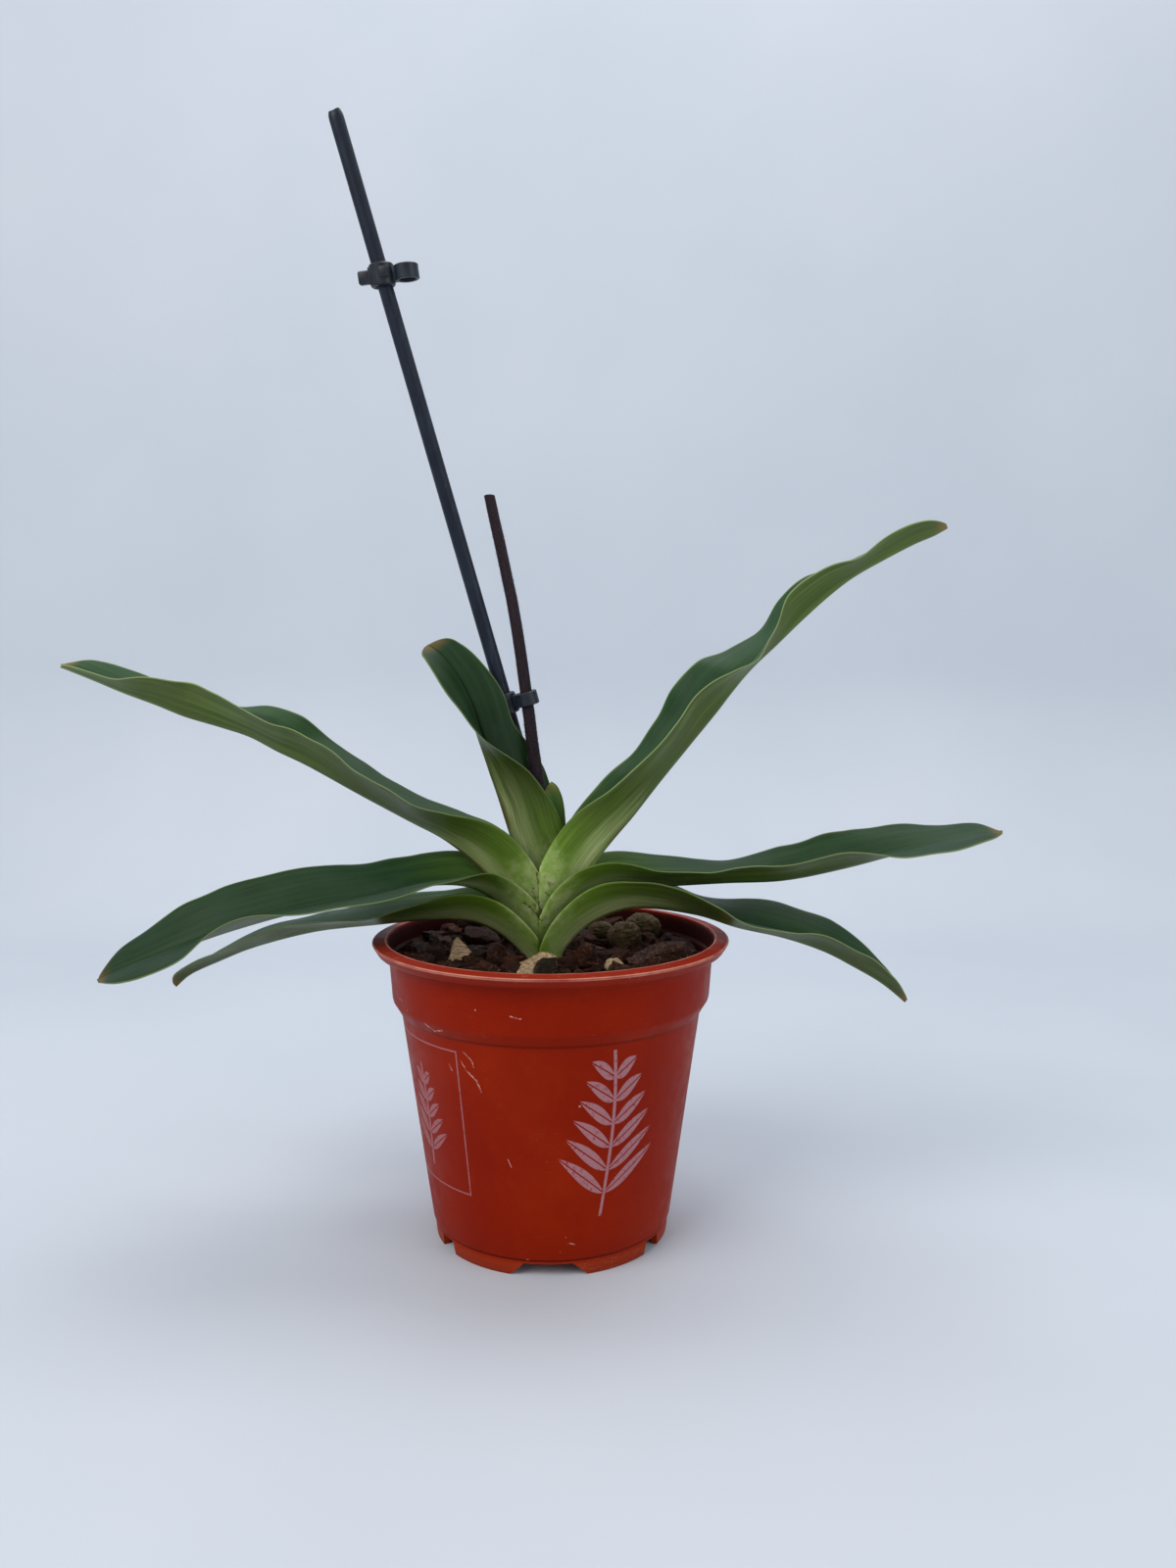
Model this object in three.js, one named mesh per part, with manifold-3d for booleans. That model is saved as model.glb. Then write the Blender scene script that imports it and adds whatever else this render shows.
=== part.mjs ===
// A paphiopedilum orchid out of bloom in a 12 cm nursery pot, with its cut flower stem tied to a stake.
// Millimetres and degrees, +Z up. The pot's axis is the Z axis of the shapes below, and the last lines move
// the whole plant so that the centre of its box stands over the origin.

import * as THREE from "three";
import { mergeVertices } from "three/addons/utils/BufferGeometryUtils.js";
import Module from "manifold-3d";

const wasm = await Module();
wasm.setup();

// Driving dimensions
const GAP = 0.32; // air left between pieces that touch
const POT_HEIGHT = 101;
const RIM_RADIUS = 60;
const MOUTH_RADIUS = 55.3;
const FOOT_RADIUS = 39.6;
const FOOT_INNER_RADIUS = 37.6;
const FLOOR_UNDERSIDE = 4.6;
const FLOOR_TOP = 6;
const POT_SEGMENTS = 44;
const DRAIN_RADIUS = 3;
const DRAIN_RING_RADIUS = 25;
const DRAIN_COUNT = 8;
// A notch in the foot ring is [its middle, half its angle at the table, half its angle at the top]
const FOOT_NOTCHES = [
  [-90, 20, 11], [90, 20, 11], [-33, 6.5, 5], [-147, 6.5, 5], [33, 6.5, 5], [147, 6.5, 5],
];
const NOTCH_HEIGHT = 4.4;
const MEDIUM_TOP = 90;
const ROOT_RADIUS = 2.1;
const STAKE_RADIUS = 2.4;
const STAKE_FOOT = new THREE.Vector3(26.5, 21.5, 28);
const STAKE_TIP = new THREE.Vector3(-67.3, -8, 365.5);
const STAKE_SIDES = 12;
const STAKE_CUT_SLOPE = 12;
const CLIP_HEIGHTS = { clip_upper: 316.5, clip_lower: 179 };
const CLIP_DIRECTION = new THREE.Vector3(0.93, -0.37, 0);
const LEAF_KEEL_THICKNESS = 1.3;
const LEAF_EDGE_THICKNESS = 0.8;
const LEAF_CELLS = 3; // cells across each half of a leaf
const MEETING_LINE = -3.9; // the X at which the edges of the left and right leaves meet at the crown
const LEAST_LEAF_WIDTH = 2;
const TIP_ROUNDS_FROM = 0.9; // the share of a leaf's length at which its edges start to close in
const CURL_SETTLES_AT = 0.35; // the share of its length at which a leaf's curl has become its tip's
const STEEPEST_MITRE = 62; // limits how far the keel's thickness is drawn out in a steep fold

// Each leaf is folded along its keel. A station along the keel is
// [x, y, z, near width, near lift, far width, far lift]: the near half points towards -Y and the far half
// towards +Y, and a lift of 0 lies flat while 90 is folded right up. Stations run from the crown to the tip.
// The leaves that meet stop at the meeting line, and the centre leaf stands inside them.
const LEAVES = {
  leaf_centre: {
    side: -1, baseCurl: -30, tipCurl: 8, rows: 20,
    stations: [
      [-3, 0.5, 101, 9, 80, 9, 66],
      [-8, 0.5, 120, 15.5, 84, 13, 70],
      [-13, 0, 136, 17, 80, 17, 70],
      [-18, 0, 152, 14.5, 58, 17.5, 68],
      [-23.5, 0, 167, 12.5, 10, 13.2, 72],
      [-27.5, 0, 179.5, 12.5, -14, 11.8, 78],
      [-32, 0.5, 188.5, 11.5, -22, 10, 76],
      [-37, 2, 195, 8.5, -28, 8, 68],
      [-41.5, 4, 198.5, 5, -30, 5, 62],
    ],
  },
  leaf_right_upper: {
    side: 1, meets: true, baseCurl: -12, tipCurl: 10, rows: 32,
    stations: [
      [-2, 0, 98, 9, 60, 9, 60],
      [7, 0, 115, 15.5, 62, 13, 62],
      [17, 0, 130, 16.5, 66, 15, 68],
      [27.5, 1, 142.5, 16, 46, 15, 76],
      [37.5, 3, 154.5, 16, 34, 15.5, 50],
      [47, 5, 166, 15.5, 31, 16.5, 52],
      [55, 7, 176, 15, 36, 16.5, 69],
      [62, 9, 184.5, 14.5, 19, 15.5, 70],
      [69, 11, 192, 14, 6, 14, 42],
      [77.5, 12, 200, 14, 22, 14, 27],
      [86.5, 13, 209, 13.5, 47, 13.5, 41],
      [95, 14, 216.5, 13, 39, 13, 45],
      [104, 15, 223, 12, 24, 12, 24],
      [114.5, 15, 229, 11, 33, 11, 24],
      [124, 15, 234, 10, 34, 10, 36],
      [131, 15, 237, 8.5, 28, 8.5, 42],
      [135.5, 15, 239.5, 6, 18, 6, 38],
    ],
  },
  leaf_left_upper: {
    side: -1, meets: true, baseCurl: -12, tipCurl: 10, rows: 32,
    stations: [
      [-4, 0, 96, 9, 58, 9, 58],
      [-12, 0, 110, 15, 62, 13, 62],
      [-24, 0, 124.5, 17.5, 62, 15, 60],
      [-36, 2, 133.5, 16.5, 37, 15.5, 36],
      [-48, 4, 139.5, 16, 27, 15, 28],
      [-66, 8, 148.5, 15, 35, 15, 28],
      [-84, 12, 158, 15, 45, 15, 42],
      [-95, 14, 163, 15, 36, 15, 56],
      [-105, 15, 168, 15, 34, 15, 47],
      [-116, 16, 171.5, 15, 48, 15, 27],
      [-128, 17, 175, 14, 54, 14, 28],
      [-138, 17, 179, 13, 44, 13, 30],
      [-149, 17, 183, 11.5, 27, 11.5, 34],
      [-158, 16, 187, 9, 21, 9, 42],
      [-165, 15, 190, 6.5, 18, 6.5, 42],
      [-170, 15, 192, 4, 15, 4, 36],
    ],
  },
  leaf_right_middle: {
    side: 1, meets: true, baseCurl: -12, tipCurl: 8, rows: 22,
    stations: [
      [-2, 0, 93, 9, 50, 9, 50],
      [8, 0, 109, 12.5, 54, 12, 54],
      [19, 0, 117.5, 14, 42, 14, 44],
      [35.5, -1, 118, 14.5, 30, 14.5, 36],
      [58.5, -3, 119.5, 14.5, 25, 14.5, 22],
      [78, -6, 121, 14.5, 28, 14.5, 36],
      [97, -9, 125.5, 14, 30, 14, 48],
      [113, -11, 130, 13.5, 6, 13.5, 36],
      [129.5, -13, 134.5, 11.5, -8, 11.5, 18],
      [141, -14, 137, 7.5, -7, 7.5, 18],
      [147.5, -14, 137.5, 3, -5, 3, 12],
    ],
  },
  leaf_left_middle: {
    side: -1, meets: true, baseCurl: -12, tipCurl: 8, rows: 22,
    stations: [
      [-4, 0, 92, 9, 50, 9, 50],
      [-13, 0, 107, 13, 52, 12, 52],
      [-25, -1.5, 117, 14, 38, 14, 40],
      [-39.5, -8, 119.5, 15, 8, 15, 34],
      [-58, -14, 116.5, 16, 0, 16, 36],
      [-78.5, -20, 113.5, 16, 2, 16, 50],
      [-99.5, -26, 108.5, 16, 10, 16, 54],
      [-116.5, -31, 103, 15, -10, 15, 40],
      [-131, -34, 97.5, 11, -12, 11.5, 34],
      [-140, -35, 93.5, 5, -5, 5, 40],
    ],
  },
  leaf_right_lower: {
    side: 1, meets: true, baseCurl: -12, tipCurl: 8, rows: 22,
    stations: [
      [-0.5, 0, 88.5, 9, 44, 9, 44],
      [8, 0, 101, 13, 46, 13, 46],
      [19, 0, 108, 14.5, 52, 13.5, 52],
      [31, 0, 110.5, 15, 42, 14, 36],
      [49, -2, 108.5, 15, 28, 15, 18],
      [63, -4, 104.5, 15, 18, 15, 32],
      [78, -6, 101.5, 15, 15, 15, 40],
      [91, -8, 97.5, 14, 26, 14, 40],
      [101, -9, 92.5, 12, 28, 12, 34],
      [110.5, -10, 87, 8, 26, 8, 31],
      [118.5, -10, 80.5, 4, 20, 4, 26],
    ],
  },
  leaf_left_lower: {
    side: -1, meets: true, baseCurl: -12, tipCurl: 8, rows: 20,
    stations: [
      [-4.5, 0, 88, 9, 42, 9, 42],
      [-13, 0, 98.3, 13, 44, 13, 44],
      [-25, 0, 105.3, 14, 48, 13.5, 48],
      [-41, 2, 106, 15, 30, 15, 29],
      [-61.5, 5, 103.5, 15, 16, 15, 24],
      [-82.5, 8, 100.5, 15, 22, 15, 12],
      [-104, 11, 94.5, 14, 17, 14, 14],
      [-118.5, 13, 88.5, 11, 21, 11, 14],
      [-128, 14, 84, 8, 24, 8, 6],
      [-133.5, 14, 79.5, 4, 30, 4, 8],
    ],
  },
};

// The sheath is one more folded blade, short and upright, round the foot of the flower stem.
const SHEATH = {
  side: 1, baseCurl: -16, tipCurl: -6, rows: 10,
  stations: [
    [2.8, 2.4, 112, 6, 74, 6, 50],
    [3.9, 2.4, 124, 7, 76, 6.5, 54],
    [3.8, 2.4, 136, 7.4, 70, 6.5, 54],
    [3.1, 2.4, 145, 7.2, 66, 6, 56],
    [1.5, 2.4, 150, 6.4, 64, 5.5, 56],
    [-0.6, 2.4, 152, 4.6, 62, 4.5, 56],
  ],
};

// The flower stem's centre line, from the crown to its slanting cut
const STEM_POINTS = [
  [1.6, 0.6, 104], [0, 0.9, 119], [-2.2, 1, 135.5], [-4, 1.4, 150], [-6.2, 2.6, 165],
  [-8.1, 4.8, 180], [-11.8, 9, 205], [-15.6, 12.4, 224], [-21.4, 16.6, 250],
];
const STEM_FOOT_RADIUS = 2.3;
const STEM_TOP_RADIUS = 1.85;
const STEM_CUT_SLOPE = 20;
const STEM_RINGS = 12;
const STEM_SIDES = 10;

// The crown is a short stem, [radius, height] from its foot up, flattened a little from front to back
const CROWN_PROFILE = [[0, 72], [3, 72.5], [5.6, 77], [6, 84], [5, 92], [3.4, 99], [2.4, 101.5], [0, 102]];
const CROWN_SIDES = 14;
const CROWN_FLATTENING = 0.8;
const CROWN_X = -1;
// Roots run out of the crown into the medium: [direction in plan, spread at the end, height at the end]
const ROOTS = [[15, 27, 34], [75, 20, 24], [135, 28, 38], [200, 30, 30], [255, 21, 22], [320, 28, 42]];
const ROOT_START = 80;

// Loose pieces on the medium: [x, y, z, length, width, height, turn, lean]
const LOOSE_PIECES = {
  chip_tan_left: [-30, -7.5, 93.6, 9, 6, 11, 20, 14],
  chip_tan_centre: [-4.5, -20.5, 94.4, 15, 9, 9, -12, 12],
  chip_pale_small: [21.5, -16, 92.9, 6, 4, 5, 30, -18],
  bark_chunk_right: [39, 1, 94.2, 25, 17, 10.5, 14, 4],
  bark_grey_front: [23.5, 19, 94.6, 11, 9, 12.5, 35, -12],
  bark_grey_back: [33.5, 27, 94, 12, 10, 10, -20, 8],
  bark_grey_left: [12.5, 25.5, 92.6, 10, 7, 6.5, 10, 0],
};
const CHIP_COUNT = 54;
const CHIP_SEED = 41;
const CHIP_SPREAD = 47; // radius of the ring of chips nearest the wall
const CHIP_LIMIT = 104; // no chip near the wall reaches higher than this

const COLOURS = {
  pot: [0xb8391a, 0.42], medium: [0x2a1c14, 0.95], crown: [0x8fa04e, 0.7], leaf: [0x2f5a2c, 0.5],
  sheath: [0x5f8a3a, 0.55], stem: [0x35201f, 0.75], stake: [0x232b30, 0.5], clip: [0x27323a, 0.45],
  tan: [0xa98f6a, 0.9], chunk: [0x3d2418, 0.95], greyBark: [0x5c5a48, 0.92],
};

// Small helpers
const radians = THREE.MathUtils.degToRad;
const mix = THREE.MathUtils.lerp;
const vector = (x, y, z) => new THREE.Vector3(x, y, z);

function seededDraw(seed) {
  let state = seed;
  return () => {
    state = (state + 0x6d2b79f5) | 0;
    let t = Math.imul(state ^ (state >>> 15), 1 | state);
    t = (t + Math.imul(t ^ (t >>> 7), 61 | t)) ^ t;
    return ((t ^ (t >>> 14)) >>> 0) / 4294967296;
  };
}

// Solids and geometries

function signedVolume(points, triangles) {
  let six = 0;
  const corner = (k) => vector(points[3 * k], points[3 * k + 1], points[3 * k + 2]);
  for (let i = 0; i < triangles.length; i += 3) {
    const [a, b, c] = [corner(triangles[i]), corner(triangles[i + 1]), corner(triangles[i + 2])];
    six += a.dot(b.cross(c));
  }
  return six / 6;
}

// A closed three.js geometry as a solid that faces outwards
function solidOf(geometry) {
  const bare = geometry.clone();
  bare.deleteAttribute("normal");
  bare.deleteAttribute("uv");
  const merged = mergeVertices(bare, 1e-3);
  const vertProperties = new Float32Array(merged.attributes.position.array);
  const triVerts = new Uint32Array(merged.index.array);
  if (signedVolume(vertProperties, triVerts) < 0) triVerts.reverse();
  return new wasm.Manifold(new wasm.Mesh({ numProp: 3, vertProperties, triVerts }));
}

function geometryOf(solid) {
  const { vertProperties, triVerts } = solid.getMesh();
  return new THREE.BufferGeometry()
    .setAttribute("position", new THREE.BufferAttribute(vertProperties, 3))
    .setIndex(new THREE.BufferAttribute(triVerts, 1));
}

// The outer skin of a solid's largest body: scraps go, and hollows sealed by a join are filled
function largest(solid) {
  return solid.decompose().reduce((best, body) => (body.volume() > best.volume() ? body : best));
}

function joined(solids) {
  return solids.reduce((all, solid) => all.add(solid));
}

// Closed rings of points, an even number in each, skinned into one closed solid. The quads on the second half
// of a ring are split the same way as the quads that face them on the first half.
function skin(rings) {
  const count = rings[0].length;
  const at = (ring, k) => ring * count + (k % count);
  const triangles = [];
  for (let ring = 0; ring + 1 < rings.length; ring++) {
    for (let k = 0; k < count; k++) {
      const [a, b, c, d] = [at(ring, k), at(ring, k + 1), at(ring + 1, k + 1), at(ring + 1, k)];
      if (k < count / 2) triangles.push(a, b, c, a, c, d);
      else triangles.push(a, b, d, b, c, d);
    }
  }
  for (let k = 0; k < count / 2 - 1; k++) {
    const last = rings.length - 1;
    const facing = count - 1 - k;
    triangles.push(at(0, k), at(0, facing), at(0, facing - 1), at(0, k), at(0, facing - 1), at(0, k + 1));
    triangles.push(at(last, k), at(last, facing - 1), at(last, facing));
    triangles.push(at(last, k), at(last, k + 1), at(last, facing - 1));
  }
  const geometry = new THREE.BufferGeometry().setFromPoints(rings.flat());
  geometry.setIndex(triangles);
  return solidOf(geometry);
}

// Catmull-Rom interpolation of rows of numbers, at a fraction of the way along them
function alongRows(rows, fraction) {
  const place = fraction * (rows.length - 1);
  const i = Math.min(Math.floor(place), rows.length - 2);
  const t = place - i;
  return rows[0].map((_, column) => {
    const b = rows[i][column];
    const c = rows[i + 1][column];
    const a = i > 0 ? rows[i - 1][column] : 2 * b - c;
    const d = i + 2 < rows.length ? rows[i + 2][column] : 2 * c - b;
    const bend = (2 * a - 5 * b + 4 * c - d) * t * t + (3 * b - a - 3 * c + d) * t ** 3;
    return 0.5 * (2 * b + (c - a) * t + bend);
  });
}

function tangentAlong(rows, fraction) {
  const step = 0.002;
  const ahead = alongRows(rows, Math.min(fraction + step, 1));
  const behind = alongRows(rows, Math.max(fraction - step, 0));
  return vector(ahead[0] - behind[0], ahead[1] - behind[1], ahead[2] - behind[2]).normalize();
}

// Leaves

// Points and upper normals across one half, from the keel to the edge
function halfSection(keel, outwards, upwards, width, lift, curl) {
  const section = [];
  const point = keel.clone();
  for (let cell = 0; cell < LEAF_CELLS; cell++) {
    const angle = radians(lift + curl * (1 - (2 * (cell + 0.5)) / LEAF_CELLS));
    const [level, rise] = [Math.cos(angle), Math.sin(angle)];
    const direction = outwards.clone().multiplyScalar(level).addScaledVector(upwards, rise);
    point.addScaledVector(direction, width / LEAF_CELLS);
    const normal = upwards.clone().multiplyScalar(level).addScaledVector(outwards, -rise);
    section.push({ point: point.clone(), normal, share: (cell + 1) / LEAF_CELLS });
  }
  return section;
}

// The ring round a leaf at one place: over the top from the near edge to the far one, and back underneath
function leafRing(leaf, fraction, grow) {
  const [x, y, z, nearWidth, nearLift, farWidth, farLift] = alongRows(leaf.stations, fraction);
  const tangent = tangentAlong(leaf.stations, fraction);
  const near = vector(0, -1, 0);
  near.addScaledVector(tangent, -near.dot(tangent)).normalize();
  const upwards = vector().crossVectors(near, tangent).multiplyScalar(leaf.side);
  const intoTip = Math.max(fraction - TIP_ROUNDS_FROM, 0) / (1 - TIP_ROUNDS_FROM);
  const round = Math.sqrt(Math.max(1 - intoTip ** 2, 0.01));
  const curl = mix(leaf.baseCurl, leaf.tipCurl, THREE.MathUtils.smoothstep(fraction, 0, CURL_SETTLES_AT));
  const end = fraction === 0 ? -grow : fraction === 1 ? grow : 0;
  const keel = vector(x, y, z).addScaledVector(tangent, end);
  const far = near.clone().negate();
  const widthOf = (width, lift) => {
    if (!leaf.meets) return width * round;
    const room = Math.abs(x - MEETING_LINE) / Math.max(Math.abs(upwards.x) * Math.sin(radians(lift)), 0.05);
    return Math.min(width * round, Math.max(room, LEAST_LEAF_WIDTH));
  };
  const nearHalf = halfSection(keel, near, upwards, widthOf(nearWidth, nearLift) + grow, nearLift, curl);
  const farHalf = halfSection(keel, far, upwards, widthOf(farWidth, farLift) + grow, farLift, curl);
  const keelLift = radians(Math.min((nearLift + farLift) / 2 + curl / 2, STEEPEST_MITRE));
  const middle = { point: keel, normal: upwards.clone().multiplyScalar(1 / Math.cos(keelLift)), share: 0 };
  const across = [...nearHalf.reverse(), middle, ...farHalf];
  const offset = ({ point, normal, share }, sign) => {
    const half = mix(LEAF_KEEL_THICKNESS, LEAF_EDGE_THICKNESS, share) / 2 + grow;
    return point.clone().addScaledVector(normal, sign * half);
  };
  return [...across.map((p) => offset(p, 1)), ...across.reverse().map((p) => offset(p, -1))];
}

function leafSolid(leaf, grow = 0) {
  const rings = [];
  for (let row = 0; row <= leaf.rows; row++) {
    rings.push(leafRing(leaf, row / leaf.rows, grow));
  }
  return skin(rings);
}

// Round pieces along a line

// A tube through points, with a radius for each ring, and a slant of its last ring in degrees
function tube(points, radii, sides, slant = 0) {
  const rows = points.map((p) => (p.toArray ? p.toArray() : p));
  const rings = radii.map((radius, ring) => {
    const fraction = ring / (radii.length - 1);
    const centre = vector(...alongRows(rows, fraction));
    const tangent = tangentAlong(rows, fraction);
    const sideways = vector().crossVectors(tangent, vector(0, 1, 0)).normalize();
    const across = vector().crossVectors(tangent, sideways);
    const lean = ring === radii.length - 1 ? Math.tan(radians(slant)) : 0;
    return Array.from({ length: sides }, (_, k) => {
      const angle = ((k + 0.5) / sides) * 2 * Math.PI;
      return centre.clone()
        .addScaledVector(sideways, radius * Math.cos(angle))
        .addScaledVector(across, radius * Math.sin(angle))
        .addScaledVector(tangent, -lean * radius * Math.cos(angle));
    });
  });
  return skin(rings);
}

function steadyRadii(count, radius) {
  return Array.from({ length: count }, () => radius);
}

function stemSolid(grow = 0) {
  const radii = Array.from({ length: STEM_RINGS }, (_, ring) => {
    return mix(STEM_FOOT_RADIUS, STEM_TOP_RADIUS, ring / (STEM_RINGS - 1)) + grow;
  });
  return tube(STEM_POINTS, radii, STEM_SIDES, STEM_CUT_SLOPE);
}

function stakeSolid(grow = 0) {
  const along = STAKE_TIP.clone().sub(STAKE_FOOT).normalize();
  const foot = STAKE_FOOT.clone().addScaledVector(along, -grow);
  return tube([foot, STAKE_TIP], steadyRadii(2, STAKE_RADIUS + grow), STAKE_SIDES, STAKE_CUT_SLOPE);
}

// The crown is the short stem that carries the leaves, with its roots
function crownSolid(grow = 0) {
  const outline = CROWN_PROFILE.map(([r, z], i) => {
    const lift = i < 2 ? -grow : i > CROWN_PROFILE.length - 3 ? grow : 0;
    return new THREE.Vector2(r > 0 ? r + grow : 0, z + lift);
  });
  const body = new THREE.LatheGeometry(outline, CROWN_SIDES).rotateX(Math.PI / 2);
  body.scale(1, CROWN_FLATTENING, 1).translate(CROWN_X, 0, 0);
  const roots = ROOTS.map(([turn, spread, end]) => {
    const away = vector(Math.cos(radians(turn)), Math.sin(radians(turn)), 0);
    const line = [[1, ROOT_START], [0.4 * spread, 70], [0.85 * spread, 52], [spread, end]];
    const points = line.map(([reach, z]) => away.clone().multiplyScalar(reach).add(vector(CROWN_X, 0, z)));
    return tube(points, steadyRadii(6, ROOT_RADIUS + grow), 6);
  });
  return joined([solidOf(body), ...roots]);
}

// Pot

// The inside of the pot as a profile of [radius, height], from the floor to the mouth
const INNER_WALL = [[39.4, FLOOR_TOP], [49.6, 77.9], [52.4, 81.8], [53.4, 93], [MOUTH_RADIUS - 0.6, 99.8]];

function potSolid() {
  const outline = [
    [0, FLOOR_UNDERSIDE], [FOOT_INNER_RADIUS, FLOOR_UNDERSIDE], [FOOT_INNER_RADIUS, 0], [FOOT_RADIUS, 0],
    [FOOT_RADIUS + 0.6, 5.5], [FOOT_RADIUS + 1.1, 6.2], [50.7, 77.5], [53.5, 81.5], [54.4, 93], [55.4, 97.2],
    [58.2, 97.4], [RIM_RADIUS, 99.7], [RIM_RADIUS - 0.5, POT_HEIGHT], [MOUTH_RADIUS, POT_HEIGHT],
    ...INNER_WALL.toReversed(), [0, FLOOR_TOP],
  ];
  const points = outline.map(([r, z]) => new THREE.Vector2(r, z));
  const body = solidOf(new THREE.LatheGeometry(points, POT_SEGMENTS).rotateX(Math.PI / 2));
  const drains = Array.from({ length: DRAIN_COUNT }, (_, i) => {
    const angle = ((i + 0.5) / DRAIN_COUNT) * 2 * Math.PI;
    const drain = new THREE.CylinderGeometry(DRAIN_RADIUS, DRAIN_RADIUS, 8, 10).rotateX(Math.PI / 2);
    drain.translate(DRAIN_RING_RADIUS * Math.cos(angle), DRAIN_RING_RADIUS * Math.sin(angle), FLOOR_TOP);
    return solidOf(drain);
  });
  return body.subtract(joined([...drains, ...footNotches()]));
}

// Feet are what the notches leave of the foot ring
function footNotches() {
  return FOOT_NOTCHES.map(([middle, low, high]) => {
    const ring = (radius) =>
      [[-low, -1], [low, -1], [high, NOTCH_HEIGHT], [-high, NOTCH_HEIGHT]].map(([turn, z]) => {
        const angle = radians(middle + turn);
        return vector(radius * Math.cos(angle), radius * Math.sin(angle), z);
      });
    return skin([ring(FOOT_INNER_RADIUS - 3), ring(FOOT_RADIUS + 4)]);
  });
}

// Medium

// The space inside the pot, a clearance away from its walls, up to a height
function potInside(top) {
  const walls = INNER_WALL.filter(([, z]) => z < top);
  const inner = walls.map(([r, z]) => [r - GAP, Math.max(z, FLOOR_TOP + GAP)]);
  const [lowRadius, lowHeight] = inner.at(-1);
  const next = INNER_WALL[inner.length] ?? [MOUTH_RADIUS, top];
  const share = (top - lowHeight) / (next[1] - lowHeight);
  inner.push([mix(lowRadius, next[0] - GAP, share), top]);
  const points = [[0, FLOOR_TOP + GAP], ...inner, [0, top]].map(([r, z]) => new THREE.Vector2(r, z));
  return solidOf(new THREE.LatheGeometry(points, POT_SEGMENTS).rotateX(Math.PI / 2));
}

// A rough piece: a simple shape, two units across, stretched to size with its corners pushed about by a draw
function roughPiece(shape, [x, y, z, length, width, height, turn, lean], draw, roughness) {
  const merged = mergeVertices(shape.deleteAttribute("normal").deleteAttribute("uv"), 1e-3);
  merged.scale(length / 2, width / 2, height / 2);
  const place = merged.attributes.position;
  for (let i = 0; i < place.count; i++) {
    const point = vector().fromBufferAttribute(place, i).multiplyScalar(1 + roughness * (draw() - 0.5));
    place.setXYZ(i, point.x, point.y, point.z);
  }
  const pose = new THREE.Euler(radians(lean), radians(lean / 2), radians(turn), "ZYX");
  merged.applyMatrix4(new THREE.Matrix4().makeRotationFromEuler(pose).setPosition(x, y, z));
  return solidOf(merged);
}

// Bark chips scattered evenly over the plug of medium, sunk well into it
function barkChips() {
  const draw = seededDraw(CHIP_SEED);
  const goldenAngle = radians(137.508);
  return Array.from({ length: CHIP_COUNT }, (_, i) => {
    const radius = CHIP_SPREAD * Math.sqrt((i + 0.5) / CHIP_COUNT);
    const angle = i * goldenAngle;
    const length = mix(8, 16, draw());
    const chip = [
      radius * Math.cos(angle), radius * Math.sin(angle), MEDIUM_TOP + mix(-0.5, 2.2, draw()),
      length, length * mix(0.5, 0.8, draw()), mix(4, 8, draw()), 360 * draw(), mix(-28, 28, draw()),
    ];
    return roughPiece(new THREE.BoxGeometry(1.7, 1.7, 1.7), chip, draw, 0.45);
  });
}

function looseSolids(grow = 0) {
  const draw = seededDraw(CHIP_SEED + 1);
  return Object.entries(LOOSE_PIECES).map(([name, piece]) => {
    const grown = piece.map((value, i) => (i >= 3 && i <= 5 ? value + 2 * grow : value));
    return [name, roughPiece(new THREE.IcosahedronGeometry(1, 1), grown, draw, 0.24)];
  });
}

// Clips

// A sleeve on the stake with a grip tab on one side and, on the other, a small ring for the flower stem. The
// clip is made upright at the origin with its ring towards +X.
const CLIP = {
  sleeveRadius: 4, sleeveHeight: 7.2, ringReach: 8.1, ringRadius: 3.9, ringBore: 2.7, ringHeight: 4.6,
  tab: [4.4, 2.6, 4.2], tabReach: -5.6, bridge: [3, 3.4, 4.6], bridgeReach: 4.3, sides: 16,
};

function clipSolid() {
  const cylinder = (radius, height, reach) => {
    const upright = new THREE.CylinderGeometry(radius, radius, height, CLIP.sides).rotateX(Math.PI / 2);
    return solidOf(upright.translate(reach, 0, 0));
  };
  const box = (size, reach) => solidOf(new THREE.BoxGeometry(...size).translate(reach, 0, 0));
  const outside = joined([
    cylinder(CLIP.sleeveRadius, CLIP.sleeveHeight, 0),
    cylinder(CLIP.ringRadius, CLIP.ringHeight, CLIP.ringReach),
    box(CLIP.tab, CLIP.tabReach),
    box(CLIP.bridge, CLIP.bridgeReach),
  ]);
  const through = 2 * CLIP.sleeveHeight;
  return outside
    .subtract(cylinder(STAKE_RADIUS + GAP, through, 0))
    .subtract(cylinder(CLIP.ringBore, through, CLIP.ringReach));
}

// The scene graph

const plant = new THREE.Group();

function addNode(name, solid, [colour, roughness]) {
  const material = new THREE.MeshStandardMaterial({ color: colour, roughness, metalness: 0 });
  const mesh = new THREE.Mesh(geometryOf(solid), material);
  mesh.name = name;
  plant.add(mesh);
  return mesh;
}

addNode("pot", potSolid(), COLOURS.pot);

addNode("crown", crownSolid(), COLOURS.crown);
addNode("flower_stem", stemSolid(), COLOURS.stem);
addNode("stake", stakeSolid(), COLOURS.stake);

// From the outermost blade inwards, each is cut clear of the ones that wrap round it
const blades = { flower_sheath: SHEATH, ...LEAVES };
let taken = joined([crownSolid(GAP), stemSolid(GAP), stakeSolid(GAP)]);
for (const [name, blade] of Object.entries(blades).toReversed()) {
  addNode(name, largest(leafSolid(blade).subtract(taken)), name in LEAVES ? COLOURS.leaf : COLOURS.sheath);
  taken = taken.add(leafSolid(blade, GAP));
}

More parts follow.
